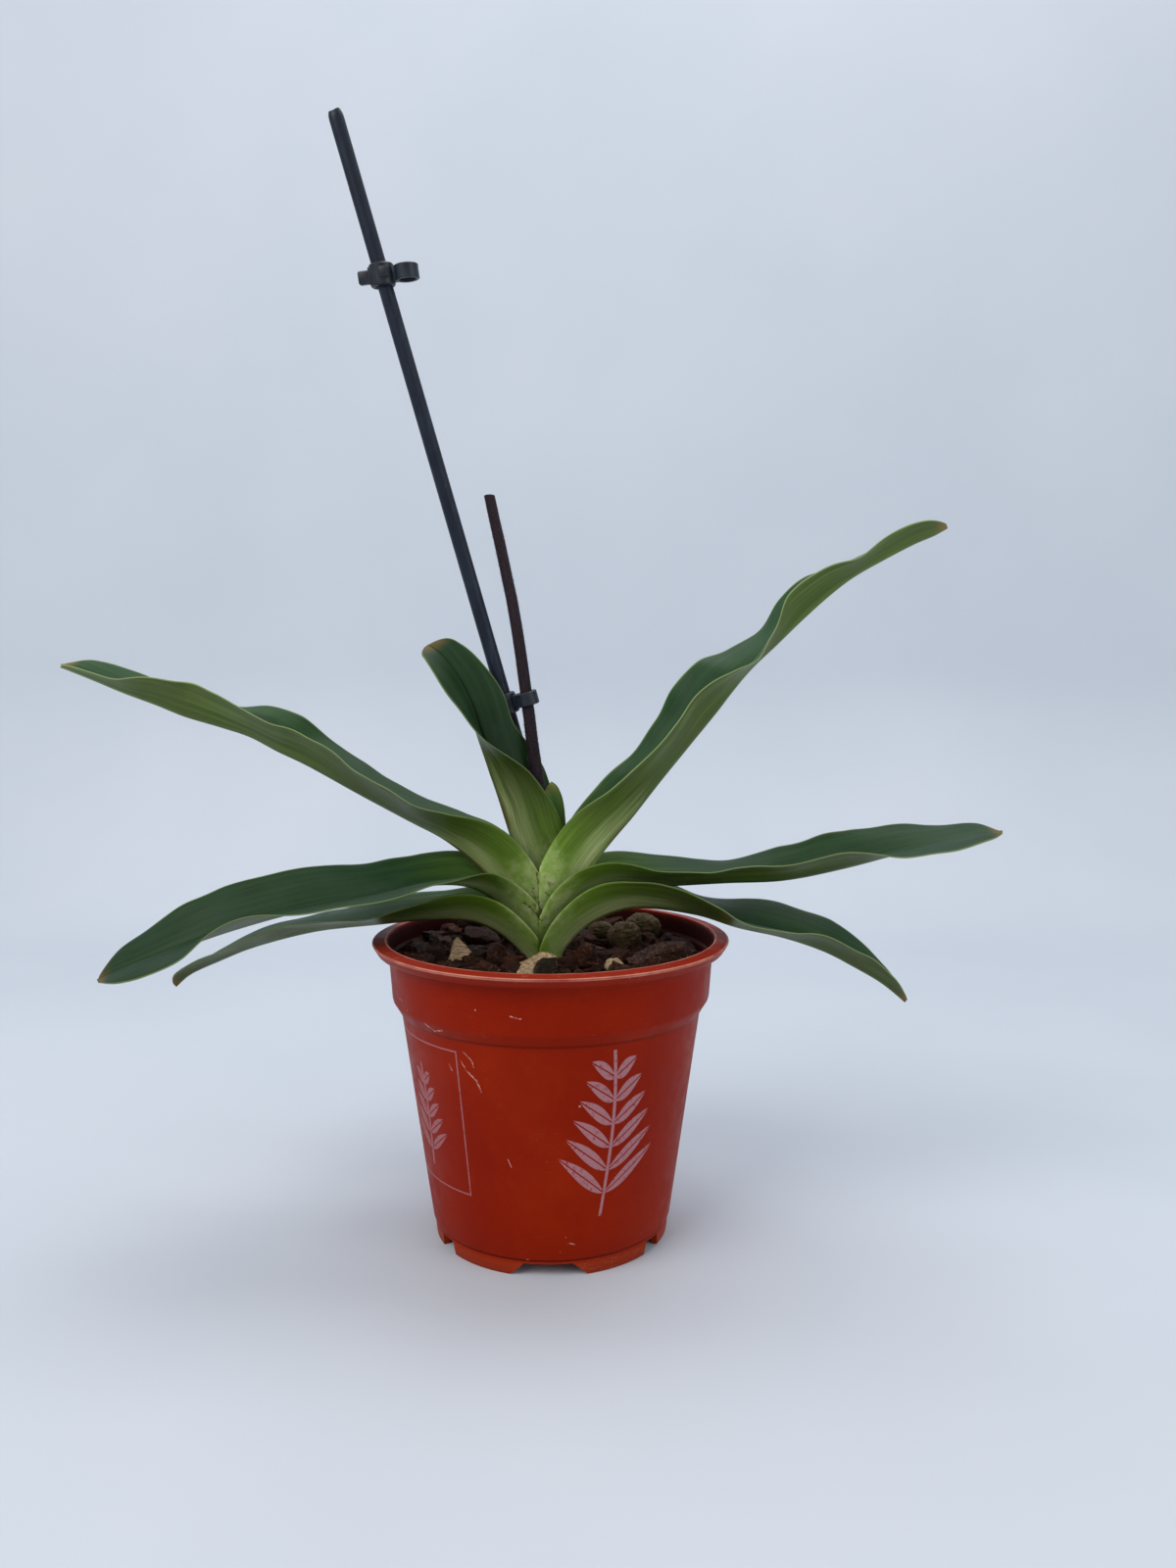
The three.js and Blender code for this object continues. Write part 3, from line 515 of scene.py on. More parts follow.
class Paint:
    """A procedural material being made, with short names for the nodes that this scene uses"""

    def __init__(self, name, **settings):
        self.material = bpy.data.materials.new(name)
        self.material.use_nodes = True
        self.tree = self.material.node_tree
        self.surface = self.tree.nodes["Principled BSDF"]
        for socket, value in settings.items():
            self.feed(self.surface.inputs[socket.replace("_", " ")], value)

    def feed(self, socket, value):
        if isinstance(value, bpy.types.NodeSocket):
            self.tree.links.new(value, socket)
        else:
            socket.default_value = value

    def node(self, kind, values, output=0, **properties):
        made = self.tree.nodes.new("ShaderNode" + kind)
        for key, value in properties.items():
            setattr(made, key, value)
        for key, value in values.items():
            self.feed(made.inputs[key], value)
        return made.outputs[output]

    def attribute(self, name):
        return self.node("Attribute", {}, "Fac", attribute_name=name)

    def place(self, scale=(1, 1, 1)):
        where = self.node("TexCoord", {}, "Object")
        return self.node("Mapping", {"Vector": where, "Scale": scale})

    def vector(self, x, y, z=0.0):
        return self.node("CombineXYZ", {"X": x, "Y": y, "Z": z})

    def math(self, operation, a, b=0.0, c=0.0):
        return self.node("Math", {0: a, 1: b, 2: c}, operation=operation)

    plus = partialmethod(math, "ADD")
    minus = partialmethod(math, "SUBTRACT")
    times = partialmethod(math, "MULTIPLY")
    times_plus = partialmethod(math, "MULTIPLY_ADD")
    most = partialmethod(math, "MAXIMUM")
    least = partialmethod(math, "MINIMUM")
    size = partialmethod(math, "ABSOLUTE")

    def between(self, value, low, high, start=0.0, end=1.0):
        return self.node("MapRange", {"Value": value, "From Min": low, "From Max": high, "To Min": start,
                                      "To Max": end}, interpolation_type="SMOOTHSTEP")

    def noise(self, where, scale, detail=3.0, rough=0.55, twist=0.0):
        return self.node("TexNoise", {"Vector": where, "Scale": scale, "Detail": detail, "Roughness": rough,
                                      "Distortion": twist}, "Fac")

    def cells(self, where, scale):
        return self.node("TexVoronoi", {"Vector": where, "Scale": scale}, "Distance")

    def mix(self, share, a, b, kind="MIX"):
        return self.node("Mix", {0: share, 6: a, 7: b}, 2, data_type="RGBA", blend_type=kind)

    def coat(self, tone, mask, shade, share=1.0):
        """The tone with another over it where the mask is one"""
        return self.mix(mask if share == 1.0 else self.times(mask, share), tone, colour(shade))

    def ramp(self, value, stops):
        made = self.tree.nodes.new("ShaderNodeValToRGB")
        elements = made.color_ramp.elements
        while len(elements) < len(stops):
            elements.new(0.5)
        for element, (place, tone) in zip(elements, stops):
            element.position = place
            element.color = colour(tone)
        self.feed(made.inputs["Fac"], value)
        return made.outputs["Color"]

    def relief(self, height, strength, distance):
        """Adds a bump, in millimetres, over what is there"""
        values = {"Height": height, "Strength": strength, "Distance": distance * MM}
        normal = self.surface.inputs["Normal"]
        if normal.is_linked:
            values["Normal"] = normal.links[0].from_socket
        self.feed(normal, self.node("Bump", values))

    def set(self, **sockets):
        for socket, value in sockets.items():
            self.feed(self.surface.inputs[socket.replace("_", " ")], value)


def stroke(paint, across, up, start, end, width):
    """A mask, one inside a thin straight stroke between two points of a plane, in the plane's own units"""
    run, rise = end[0] - start[0], end[1] - start[1]
    length = math.hypot(run, rise)
    x, y = paint.minus(across, start[0]), paint.minus(up, start[1])
    forward = paint.times_plus(x, run / length, paint.times(y, rise / length))
    beside = paint.times_plus(x, -rise / length, paint.times(y, run / length))
    past = paint.minus(paint.size(paint.minus(forward, length / 2)), length / 2)
    past = paint.most(past, 0.0)
    far = paint.math("SQRT", paint.times_plus(past, past, paint.times(beside, beside)))
    return paint.between(far, width, width * 0.55)


def strongest(paint, masks):
    """The largest of several masks"""
    whole = masks[0]
    for mask in masks[1:]:
        whole = paint.most(whole, mask)
    return whole


def leaf_paint(name, upper_tones, under_tones, base_reach=62.0, keel_share=0.75):
    """Leaf skin: veined lengthwise, paler towards the crown, thin pale edges, speckled at its base"""
    paint = Paint(name, Specular_IOR_Level=0.16)
    across, along, seed = (paint.attribute(key) for key in ("across", "along", "leaf_seed"))
    rim, upper = paint.attribute("rim"), paint.attribute("upper")
    to_tip = paint.attribute("to_tip")
    shifted = paint.times_plus(seed, 41.0, along)
    drift = paint.noise(paint.vector(0.0, shifted, seed), 0.045, 2)
    bent = paint.times_plus(drift, 2.2, across)
    streak_place = paint.vector(bent, paint.times(shifted, 0.022), seed)
    fine = paint.noise(streak_place, 2.3, 4, 0.62)
    broad = paint.noise(streak_place, 0.62, 2, 0.5)
    cloud = paint.noise(paint.vector(across, shifted, seed), 0.075, 3)

    upper_colour = paint.ramp(broad, [(0.2, upper_tones[0]), (0.52, upper_tones[1]), (0.84, upper_tones[2])])
    upper_colour = paint.coat(upper_colour, paint.between(cloud, 0.4, 0.72, 0, 0.6), upper_tones[3])
    upper_colour = paint.coat(upper_colour, paint.between(fine, 0.5, 0.72, 0, 0.3), upper_tones[2])
    under_colour = paint.ramp(broad, [(0.2, under_tones[0]), (0.5, under_tones[1]), (0.82, under_tones[2])])
    under_colour = paint.coat(under_colour, paint.between(cloud, 0.4, 0.7, 0, 0.6), under_tones[3])
    under_colour = paint.coat(under_colour, paint.between(fine, 0.48, 0.75, 0, 0.34), under_tones[2])
    under_colour = paint.coat(under_colour, paint.between(fine, 0.46, 0.3, 0, 0.28), under_tones[0])

    # towards the crown the under side turns a lively yellow-green, partly its own colour and partly painted
    # light shining through the leaf, and pale along its keel
    wander = paint.noise(paint.vector(bent, paint.times(shifted, 0.06), seed), 0.5, 2)
    reach = paint.times_plus(wander, 34.0, along)
    yellow = paint.between(reach, base_reach + 18, 30)
    base_green = paint.ramp(fine, [(0.25, "56761a"), (0.52, "6c9129"), (0.8, "8fab4a")])
    under_colour = paint.mix(paint.times(yellow, 0.85), under_colour, base_green)
    upper_colour = paint.mix(paint.times(yellow, 0.5), upper_colour, base_green)
    from_keel = paint.size(across)
    keel_band = paint.times(paint.between(from_keel, 9.5, 2.5),
                            paint.between(reach, base_reach + 22, base_reach - 14))
    keel_pale = paint.ramp(fine, [(0.3, "8fa058"), (0.6, "b9c28c"), (0.8, "d8dcb8")])
    under_colour = paint.mix(paint.times(keel_band, keel_share), under_colour, keel_pale)

    # the midrib shows as a dark groove above and a paler ridge below
    rib = paint.between(from_keel, 0.8, 0.15)
    upper_colour = paint.coat(upper_colour, rib, "152a14", 0.4)
    under_colour = paint.coat(under_colour, rib, "7b8a48", 0.3)

    tone = paint.mix(upper, under_colour, upper_colour)
    edge = paint.times(paint.between(rim, 0.5, 0.12), paint.between(along, 24, 70, 0.1, 0.6))
    tone = paint.coat(tone, edge, "8c9e66")
    withered = paint.times(paint.between(to_tip, 5.5, 0.6), paint.between(cloud, 0.35, 0.6, 0.2, 0.9))
    papery = paint.times(paint.between(from_keel, 1.3, 0.4), paint.between(reach, 75, 50, 0, keel_share))
    papery = paint.times(papery, paint.between(cloud, 0.4, 0.6))
    withered = paint.most(withered, paint.times(papery, paint.minus(1.0, upper)))
    tone = paint.coat(tone, withered, "76602e")

    # the heart of the crown is pale, with dark specks and brown scars
    where = paint.place()
    apart = paint.node("SeparateXYZ", {"Vector": where})
    height = apart.node.outputs["Z"]
    sideways = paint.size(paint.minus(apart.node.outputs["X"], float(HEART_X * MM + POT_AXIS[0])))
    sideways = paint.times(sideways, 1.35)
    rise = paint.minus(height, HEART_Z * MM)
    span = paint.math("SQRT", paint.times_plus(sideways, sideways, paint.times(rise, rise)))
    ragged = paint.times_plus(paint.noise(where, 210, 4, 0.65), 0.016, span)
    heart = paint.between(ragged, 0.030, 0.014)
    heart = paint.times(heart, paint.between(upper, 0.6, 0.4))
    heart_tone = paint.ramp(paint.noise(where, 330, 4, 0.6),
                            [(0.3, "86a848"), (0.5, "a3ba6c"), (0.72, "c6cc9c")])
    tone = paint.mix(paint.times(heart, 0.85), tone, heart_tone)
    flat = paint.node("VectorMath", {0: where, 1: (1.0, 0.15, 1.0)}, operation="MULTIPLY")
    uneven = paint.times_plus(paint.noise(flat, 300, 2), 0.5, paint.cells(flat, 700))
    dots = paint.between(uneven, 0.42, 0.3)
    gate = paint.between(paint.noise(flat, 150, 2), 0.46, 0.56)
    specks = paint.times(paint.times(dots, gate), paint.between(span, 0.026, 0.012, 0, 0.9))
    tone = paint.coat(tone, specks, "221c10")
    stretched = paint.node("VectorMath", {0: where, 1: (1.0, 0.3, 0.7)}, operation="MULTIPLY")
    scar = paint.noise(stretched, 420, 3, 0.7)
    scar = paint.times(paint.between(scar, 0.55, 0.68), paint.between(span, 0.012, 0.004, 0, 0.7))
    shake = paint.noise(where, 600, 2)
    plan_x = paint.times_plus(apart.node.outputs["X"], 1000.0, float(-1000 * POT_AXIS[0]))
    plan_x = paint.plus(plan_x, paint.times(paint.minus(shake, 0.5), 2.4))
    plan_z = paint.times(height, 1000.0)
    lines = [stroke(paint, plan_x, plan_z, start, end, width) for start, end, width in SCARS]
    worn = paint.between(paint.noise(where, 900, 3, 0.7), 0.36, 0.52, 0.1, 0.85)
    scar = paint.most(scar, paint.times(strongest(paint, lines), worn))
    tone = paint.coat(tone, scar, "4a3222")
    # painted light: each leaf's colour scaled from foot to tip for how lit it looks
    tone = paint.node("VectorMath", {0: tone, "Scale": paint.attribute("leaf_painted_light")}, operation="SCALE")

    sheen = paint.between(cloud, 0.3, 0.7, 0.38, 0.52)
    paint.set(Base_Color=tone, Roughness=sheen)
    paint.relief(fine, 0.5, 0.12)
    paint.relief(paint.noise(paint.vector(across, shifted, seed), 1.6, 3), 0.35, 0.06)
    return paint.material


def sprig(paint, across, up, width, height, pairs):
    """A mask of a plain printed sprig: a bent stem with pairs of leaves that shorten upwards"""
    step = height / (pairs + 1)
    bend = paint.times(paint.math("SINE", paint.times(up, 2.4 / height)), 0.07 * width)
    from_stem = paint.size(paint.minus(across, bend))
    risen = paint.times_plus(from_stem, -0.75, up)
    number = paint.most(paint.math("ROUND", paint.math("DIVIDE", risen, step)), 1.0)
    beside = paint.size(paint.times_plus(number, -step, risen))
    reach = paint.times_plus(number, -0.36 * width / (pairs + 1), 0.5 * width)
    share = paint.math("DIVIDE", from_stem, reach)
    share = paint.least(share, 1.0)
    plump = paint.math("SINE", paint.times(paint.math("POWER", share, 0.8), math.pi))
    inside = paint.times_plus(plump, 0.36 * step, paint.times(beside, -1.0))
    leaves = paint.between(inside, 0.0, 0.18)
    leaves = paint.times(leaves, paint.between(beside, 0.2, 0.34))
    leaves = paint.times(leaves, paint.math("LESS_THAN", number, pairs + 0.5))
    stem = paint.between(from_stem, 0.62, 0.42)
    stem = paint.times(stem, paint.math("LESS_THAN", up, height * 1.02))
    stem = paint.times(stem, paint.math("GREATER_THAN", up, 0.0))
    return paint.most(leaves, stem)


def pot_paint():
    """Mottled red-orange plastic with a scuffed lip and feet, scratches and a plain pale printed sprig, with
    painted sheen on the lip, painted highlights on its edges, and painted shade inside and in the grooves
    """
    paint = Paint("pot_plastic", Specular_IOR_Level=0.06)
    where = paint.place()
    apart = paint.node("SeparateXYZ", {"Vector": where})
    x = paint.minus(apart.node.outputs["X"], float(POT_AXIS[0]))
    front = paint.times(apart.node.outputs["Y"], -1.0)
    turn = paint.times(paint.math("ARCTAN2", x, front), 180 / math.pi)
    height = paint.times(apart.node.outputs["Z"], 1000.0)
    wide = paint.times(turn, WALL_PER_DEGREE)
    inside = paint.attribute("inside")
    outside = paint.minus(1.0, inside)

    blotch = paint.noise(where, 28, 4)
    tone = paint.ramp(blotch, [(0.3, "861700"), (0.55, "8e1c00"), (0.78, "982301")])
    cloudy = paint.noise(where, 150, 5, 0.7)
    tone = paint.coat(tone, paint.between(cloudy, 0.5, 0.8, 0, 0.3), "a4300a")
    # the lip is tinted pinkish: partly scuffing, partly painted sheen
    lip = paint.between(height, 96.8, 98.6)
    tone = paint.coat(tone, lip, "8a2a1c", 0.4)
    foot = paint.between(height, 6.0, 3.0)
    tone = paint.coat(tone, foot, "b04a28", 0.35)
    # painted shade: the inner wall darkens from just under the lip downwards
    painted_shade_inside = paint.times(inside, paint.between(height, 100.4, 98.8, 0.6, 0.96))
    tone = paint.coat(tone, painted_shade_inside, "260705")

    # painted shade: dark lines in the groove above the feet and under the step
    groove = paint.between(paint.size(paint.minus(height, 5.5)), 0.5, 0.15, 0, 0.7)
    under_step = paint.between(paint.size(paint.minus(height, 77.3)), 0.7, 0.2, 0, 0.45)
    painted_shade_lines = paint.times(paint.most(groove, under_step), outside)
    tone = paint.coat(tone, painted_shade_lines, "430a03")

    # painted highlights: thin pale lines along the two edges of the lip
    radius = paint.times(x, x)
    radius = paint.times(paint.math("SQRT", paint.times_plus(front, front, radius)), 1000.0)
    above = paint.between(height, 99.4, 99.9)
    edges = [paint.between(paint.size(paint.minus(radius, line)), 0.34, 0.1)
             for line in (LIP_INNER_EDGE, LIP_OUTER_EDGE)]
    painted_edge_highlight = paint.times(paint.most(*edges), above)
    painted_edge_highlight = paint.times(painted_edge_highlight, paint.between(paint.noise(where, 60, 4, 0.7), 0.3, 0.6, 0.25, 0.9))
    tone = paint.coat(tone, painted_edge_highlight, "d6937f")

    # rub marks: fine level streaks, most on the lip, the step and the feet
    level = paint.node("Mapping", {"Vector": where, "Scale": (0.5, 0.5, 3.0)})
    rubbed = paint.between(paint.noise(level, 900, 3, 0.7, 1.0), 0.6, 0.74)
    on_lip = paint.between(height, 97.5, 100.0, 0, 0.55)
    on_step = paint.between(paint.size(paint.minus(height, 80.5)), 1.6, 0.4)
    raised = strongest(paint, [on_lip, foot, paint.times(on_step, 0.4), 0.10])
    patch = paint.between(paint.noise(where, 70, 3), 0.42, 0.66)
    tone = paint.coat(tone, paint.times(paint.times(rubbed, raised), patch), "d8a392")
    specks = paint.between(paint.cells(where, 230), 0.09, 0.05)
    specks = paint.times(specks, paint.between(paint.noise(where, 47, 2), 0.58, 0.66, 0, 0.8))
    tone = paint.coat(tone, paint.times(specks, outside), "d8b0a0")

    # scratches, each a few thin strokes at a height in mm and a distance round the wall
    shake = paint.noise(where, 420, 2)
    shaky_wide = paint.times_plus(shake, 1.4, wide)
    shaky_high = paint.times_plus(paint.noise(where, 370, 2), 1.4, height)
    marks = [stroke(paint, shaky_wide, shaky_high, start, end, width) for start, end, width in SCRATCHES]
    worn = paint.between(paint.noise(where, 700, 3, 0.7), 0.4, 0.55, 0.2, 1)
    scratched = paint.times(paint.times(strongest(paint, marks), worn), outside)
    tone = paint.coat(tone, scratched, "dba79a", 0.85)

    # the print: a sprig on the right of the front, and on the left a thin frame round a small sprig
    middle, foot_height, print_width, print_height = PRINT
    print_across = paint.minus(wide, middle)
    large = sprig(paint, print_across, paint.minus(height, foot_height), print_width, print_height, 6)
    frame_middle, frame_low, frame_width, frame_height = PRINTED_FRAME
    frame_across = paint.minus(wide, frame_middle)
    frame_up = paint.minus(height, frame_low + frame_height / 2)
    outline = paint.most(paint.minus(paint.size(frame_across), frame_width / 2),
                         paint.minus(paint.size(frame_up), frame_height / 2))
    line = paint.between(paint.size(outline), 0.3, 0.16, 0, 0.8)
    small = sprig(paint, frame_across, paint.minus(height, frame_low + 5), frame_width * 0.62,
                  frame_height * 0.72, 5)
    ink_wear = paint.between(paint.noise(where, 900, 4, 0.75), 0.34, 0.46, 0.15, 1)
    printed = paint.times(strongest(paint, [large, line, paint.times(small, 0.75)]), ink_wear)
    printed = paint.times(printed, outside)
    tone = paint.coat(tone, printed, "b07f86", 0.88)

    rough = paint.between(cloudy, 0.3, 0.75, 0.36, 0.54)
    paint.set(Base_Color=tone, Roughness=rough)
    paint.relief(paint.noise(where, 2600, 2), 0.25, 0.05)
    paint.relief(paint.noise(where, 40, 2), 0.25, 0.35)
    paint.relief(scratched, 0.5, 0.05)
    paint.relief(printed, 0.3, 0.03)
    return paint.material


def stake_paint():
    paint = Paint("stake_plastic", Specular_IOR_Level=0.25)
    where = paint.place((1, 1, 0.25))
    tone = paint.ramp(paint.noise(where, 300, 4), [(0.3, "121825"), (0.6, "1b2332"), (0.8, "293343")])
    worn = paint.between(paint.noise(where, 1300, 3, 0.7), 0.62, 0.75, 0, 0.35)
    tone = paint.coat(tone, worn, "4a5260")
    paint.set(Base_Color=tone, Roughness=paint.between(paint.noise(where, 900, 3), 0.3, 0.7, 0.36, 0.55))
    paint.relief(paint.noise(where, 1500, 3), 0.4, 0.06)
    return paint.material


def clip_paint():
    paint = Paint("clip_plastic", Specular_IOR_Level=0.4)
    where = paint.place()
    tone = paint.ramp(paint.noise(where, 240, 4), [(0.3, "171c24"), (0.6, "202833"), (0.8, "2e3947")])
    paint.set(Base_Color=tone, Roughness=paint.between(paint.noise(where, 700, 3), 0.3, 0.7, 0.3, 0.48))
    paint.relief(paint.noise(where, 1300, 3), 0.3, 0.05)
    return paint.material


def stem_paint():
    paint = Paint("flower_stem_skin", Specular_IOR_Level=0.2)
    along, turn = paint.attribute("along"), paint.attribute("turn")
    streaks = paint.vector(paint.times(paint.math("SINE", turn), 3.0), paint.times(along, 0.12),
                           paint.times(paint.math("COSINE", turn), 3.0))
    grain = paint.noise(streaks, 1.6, 5, 0.65)
    tone = paint.ramp(grain, [(0.3, "0f0a0f"), (0.5, "1d141a"), (0.68, "2e1f25"), (0.85, "43312c")])
    cloud = paint.noise(paint.vector(0.0, along, 0.0), 0.09, 2)
    tone = paint.coat(tone, paint.between(cloud, 0.45, 0.7, 0, 0.45), "231a26")
    upper_part = paint.between(along, 70, 130, 0, 0.5)
    tone = paint.coat(tone, upper_part, "2e2129")
    cut = paint.between(along, 150.2, 151.0)
    tone = paint.coat(tone, cut, "6b4a2c")
    paint.set(Base_Color=tone, Roughness=0.7)
    paint.relief(grain, 0.6, 0.15)
    paint.relief(paint.noise(paint.place(), 2400, 2), 0.5, 0.08)
    return paint.material


def hair_paint():
    paint = Paint("flower_stem_hair", Roughness=0.6, Specular_IOR_Level=0.3)
    tone = paint.ramp(paint.noise(paint.place(), 600, 2), [(0.35, "3a2530"), (0.65, "7a6268")])
    paint.set(Base_Color=tone)
    return paint.material


def crown_paint():
    paint = Paint("crown_skin", Specular_IOR_Level=0.25)
    where = paint.place()
    height = paint.node("SeparateXYZ", {"Vector": where}, "Z")
    mottle = paint.noise(where, 260, 5, 0.65)
    tone = paint.ramp(mottle, [(0.3, "4a6420"), (0.5, "7c9040"), (0.7, "a3ab6c"), (0.85, "6e5230")])
    root = paint.ramp(mottle, [(0.3, "3a2816"), (0.6, "65502f"), (0.8, "857048")])
    tone = paint.mix(paint.between(height, 0.088, 0.08), tone, root)
    paint.set(Base_Color=tone, Roughness=0.65)
    paint.relief(mottle, 0.6, 0.3)
    return paint.material


def bark_paint(name, tones, fleck, fleck_share, moss="4d5632", moss_share=0.0):
    """Layered bark: bands across its thickness, fibres, pits and flecks"""
    paint = Paint(name, Specular_IOR_Level=0.2)
    place = paint.vector(paint.attribute("own_x"), paint.attribute("own_y"), paint.attribute("own_z"))
    layered = paint.node("Mapping", {"Vector": place, "Scale": (0.5, 0.5, 1.9)})
    bands = paint.noise(layered, 0.85, 5, 0.68, 0.6)
    tone = paint.ramp(bands, [(0.3, tones[0]), (0.45, tones[1]), (0.58, tones[2]), (0.76, tones[3])])
    # each piece's shade value scales its colour: tone that differs at random between chips, and painted shade
    # on the plug between them
    shade = paint.attribute("shade")
    tone = paint.mix(1.0, tone, paint.ramp(shade, [(0.0, "54443a"), (0.5, "ac9484"), (1.0, "fff0e2")]),
                     "MULTIPLY")
    redness = paint.attribute("redness")
    tone = paint.coat(tone, redness, "4a1f14", 0.5)
    fibres = paint.noise(paint.node("Mapping", {"Vector": place, "Scale": (0.35, 2.6, 2.6)}), 1.5, 4, 0.7)
    tone = paint.coat(tone, paint.between(fibres, 0.55, 0.75, 0, 0.4), tones[3])
    tone = paint.coat(tone, paint.between(fibres, 0.42, 0.3, 0, 0.6), tones[0])
    grains = paint.between(paint.cells(place, 1.7), 0.26, 0.12)
    spread = paint.between(paint.noise(place, 0.35, 3), 0.62 - fleck_share, 0.74 - fleck_share)
    tone = paint.coat(tone, paint.times(grains, spread), fleck)
    if moss_share:
        growth = paint.between(paint.noise(place, 0.28, 4, 0.65), 0.62 - moss_share, 0.8 - moss_share, 0, 0.8)
        tone = paint.coat(tone, growth, moss)
    pits = paint.noise(place, 3.2, 5, 0.75)
    tone = paint.coat(tone, paint.between(pits, 0.42, 0.3, 0, 0.6), tones[0])
    # near black where the dark value is set: painted shade on the plug between the chips, and the dark broken
    # faces of loose pieces
    tone = paint.coat(tone, paint.attribute("dark"), "0d0706", 0.9)
    paint.set(Base_Color=tone, Roughness=paint.between(pits, 0.3, 0.7, 0.5, 0.85))
    paint.relief(bands, 1.0, 1.1)
    paint.relief(fibres, 1.0, 0.6)
    paint.relief(pits, 1.0, 0.45)
    return paint.material


# Bark pieces


def ball_of_quads(cuts):
    """A cube two units across, cut into a grid: its points, the same points on a ball, and its quads"""
    mesh = bmesh.new()
    bmesh.ops.create_cube(mesh, size=2)
    bmesh.ops.subdivide_edges(mesh, edges=mesh.edges[:], cuts=cuts, use_grid_fill=True)
    points = np.array([vertex.co for vertex in mesh.verts])
    faces = [tuple(vertex.index for vertex in face.verts) for face in mesh.faces]
    mesh.free()
    ball = points / np.linalg.norm(points, axis=1, keepdims=True)
    return points, ball, faces


BALLS = {cuts: ball_of_quads(cuts) for cuts in (2, 5, 8, 16)}


def rough_piece(draw, place, size, turn, lean, cuts=5, boxiness=0.45, planes=5, crag=0.19, faces_cut=()):
    """A broken piece of bark: a swollen block, cut flat by a few planes, then roughened in layers"""
    box, ball, faces = BALLS[cuts]
    shape = boxiness * box * 0.85 + (1 - boxiness) * ball
    for _ in range(planes):
        normal = draw.normal(size=3)
        normal /= np.linalg.norm(normal)
        past = shape @ normal - draw.uniform(0.55, 0.85)
        shape = shape - np.maximum(past, 0)[:, None] * normal
    dark = np.zeros(len(shape))
    for normal, depth, darkness in faces_cut:
        normal = np.array(normal) / np.linalg.norm(normal)
        past = np.maximum(shape @ normal - depth, 0)
        dark = np.maximum(dark, darkness * (past > 0))
        shape = shape - past[:, None] * normal
    own = shape * np.array(size) / 2
    offset = draw.uniform(0, 100, 3)
    reach = 1 / max(size[0], 6)
    for i, point in enumerate(own):
        where = Vector(point * reach * 3 + offset)
        layered = Vector((point[0] * 0.3, point[1] * 0.3, point[2] * 1.5)) + Vector(offset)
        fine = Vector(point * 0.9 + offset)
        push = crag * (noise.fractal(where, 0.8, 2.1, 4) + 0.7 * noise.noise(layered)
                       + 0.45 * noise.noise(fine))
        own[i] = point * (1 + push)
    spin = Euler((math.radians(lean), math.radians(lean * 0.6), math.radians(turn))).to_matrix()
    points = own @ np.array(spin).T + np.array(place)
    values = {"own_x": own[:, 0] + offset[0], "own_y": own[:, 1] + offset[1], "own_z": own[:, 2] + offset[2],
              "dark": dark}
    return points, faces, values


def inside_pot(points, margin=0.8):
    """Points pushed inwards where they would reach the pot's wall"""
    heights = [6, 77.9, 81.8, 93, 101]
    walls = [39.4, 49.6, 52.4, 53.4, 55.3]
    limit = np.interp(points[:, 2], heights, walls) - margin
    radius = np.hypot(points[:, 0], points[:, 1])
    shrink = np.minimum(1, limit / np.maximum(radius, 1e-6))
    return points * np.c_[shrink, shrink, np.ones(len(points))]


def litter_height(x, y):
    """How far the litter stands over its level, in mm: heaped at the left and at the back"""
    heap = 2.6 * smoothstep(-x, 4, 34) + 2.2 * smoothstep(y, 0, 34)
    return heap + 1.1 * noise.noise(Vector((x / 17, y / 17, 4.2)))


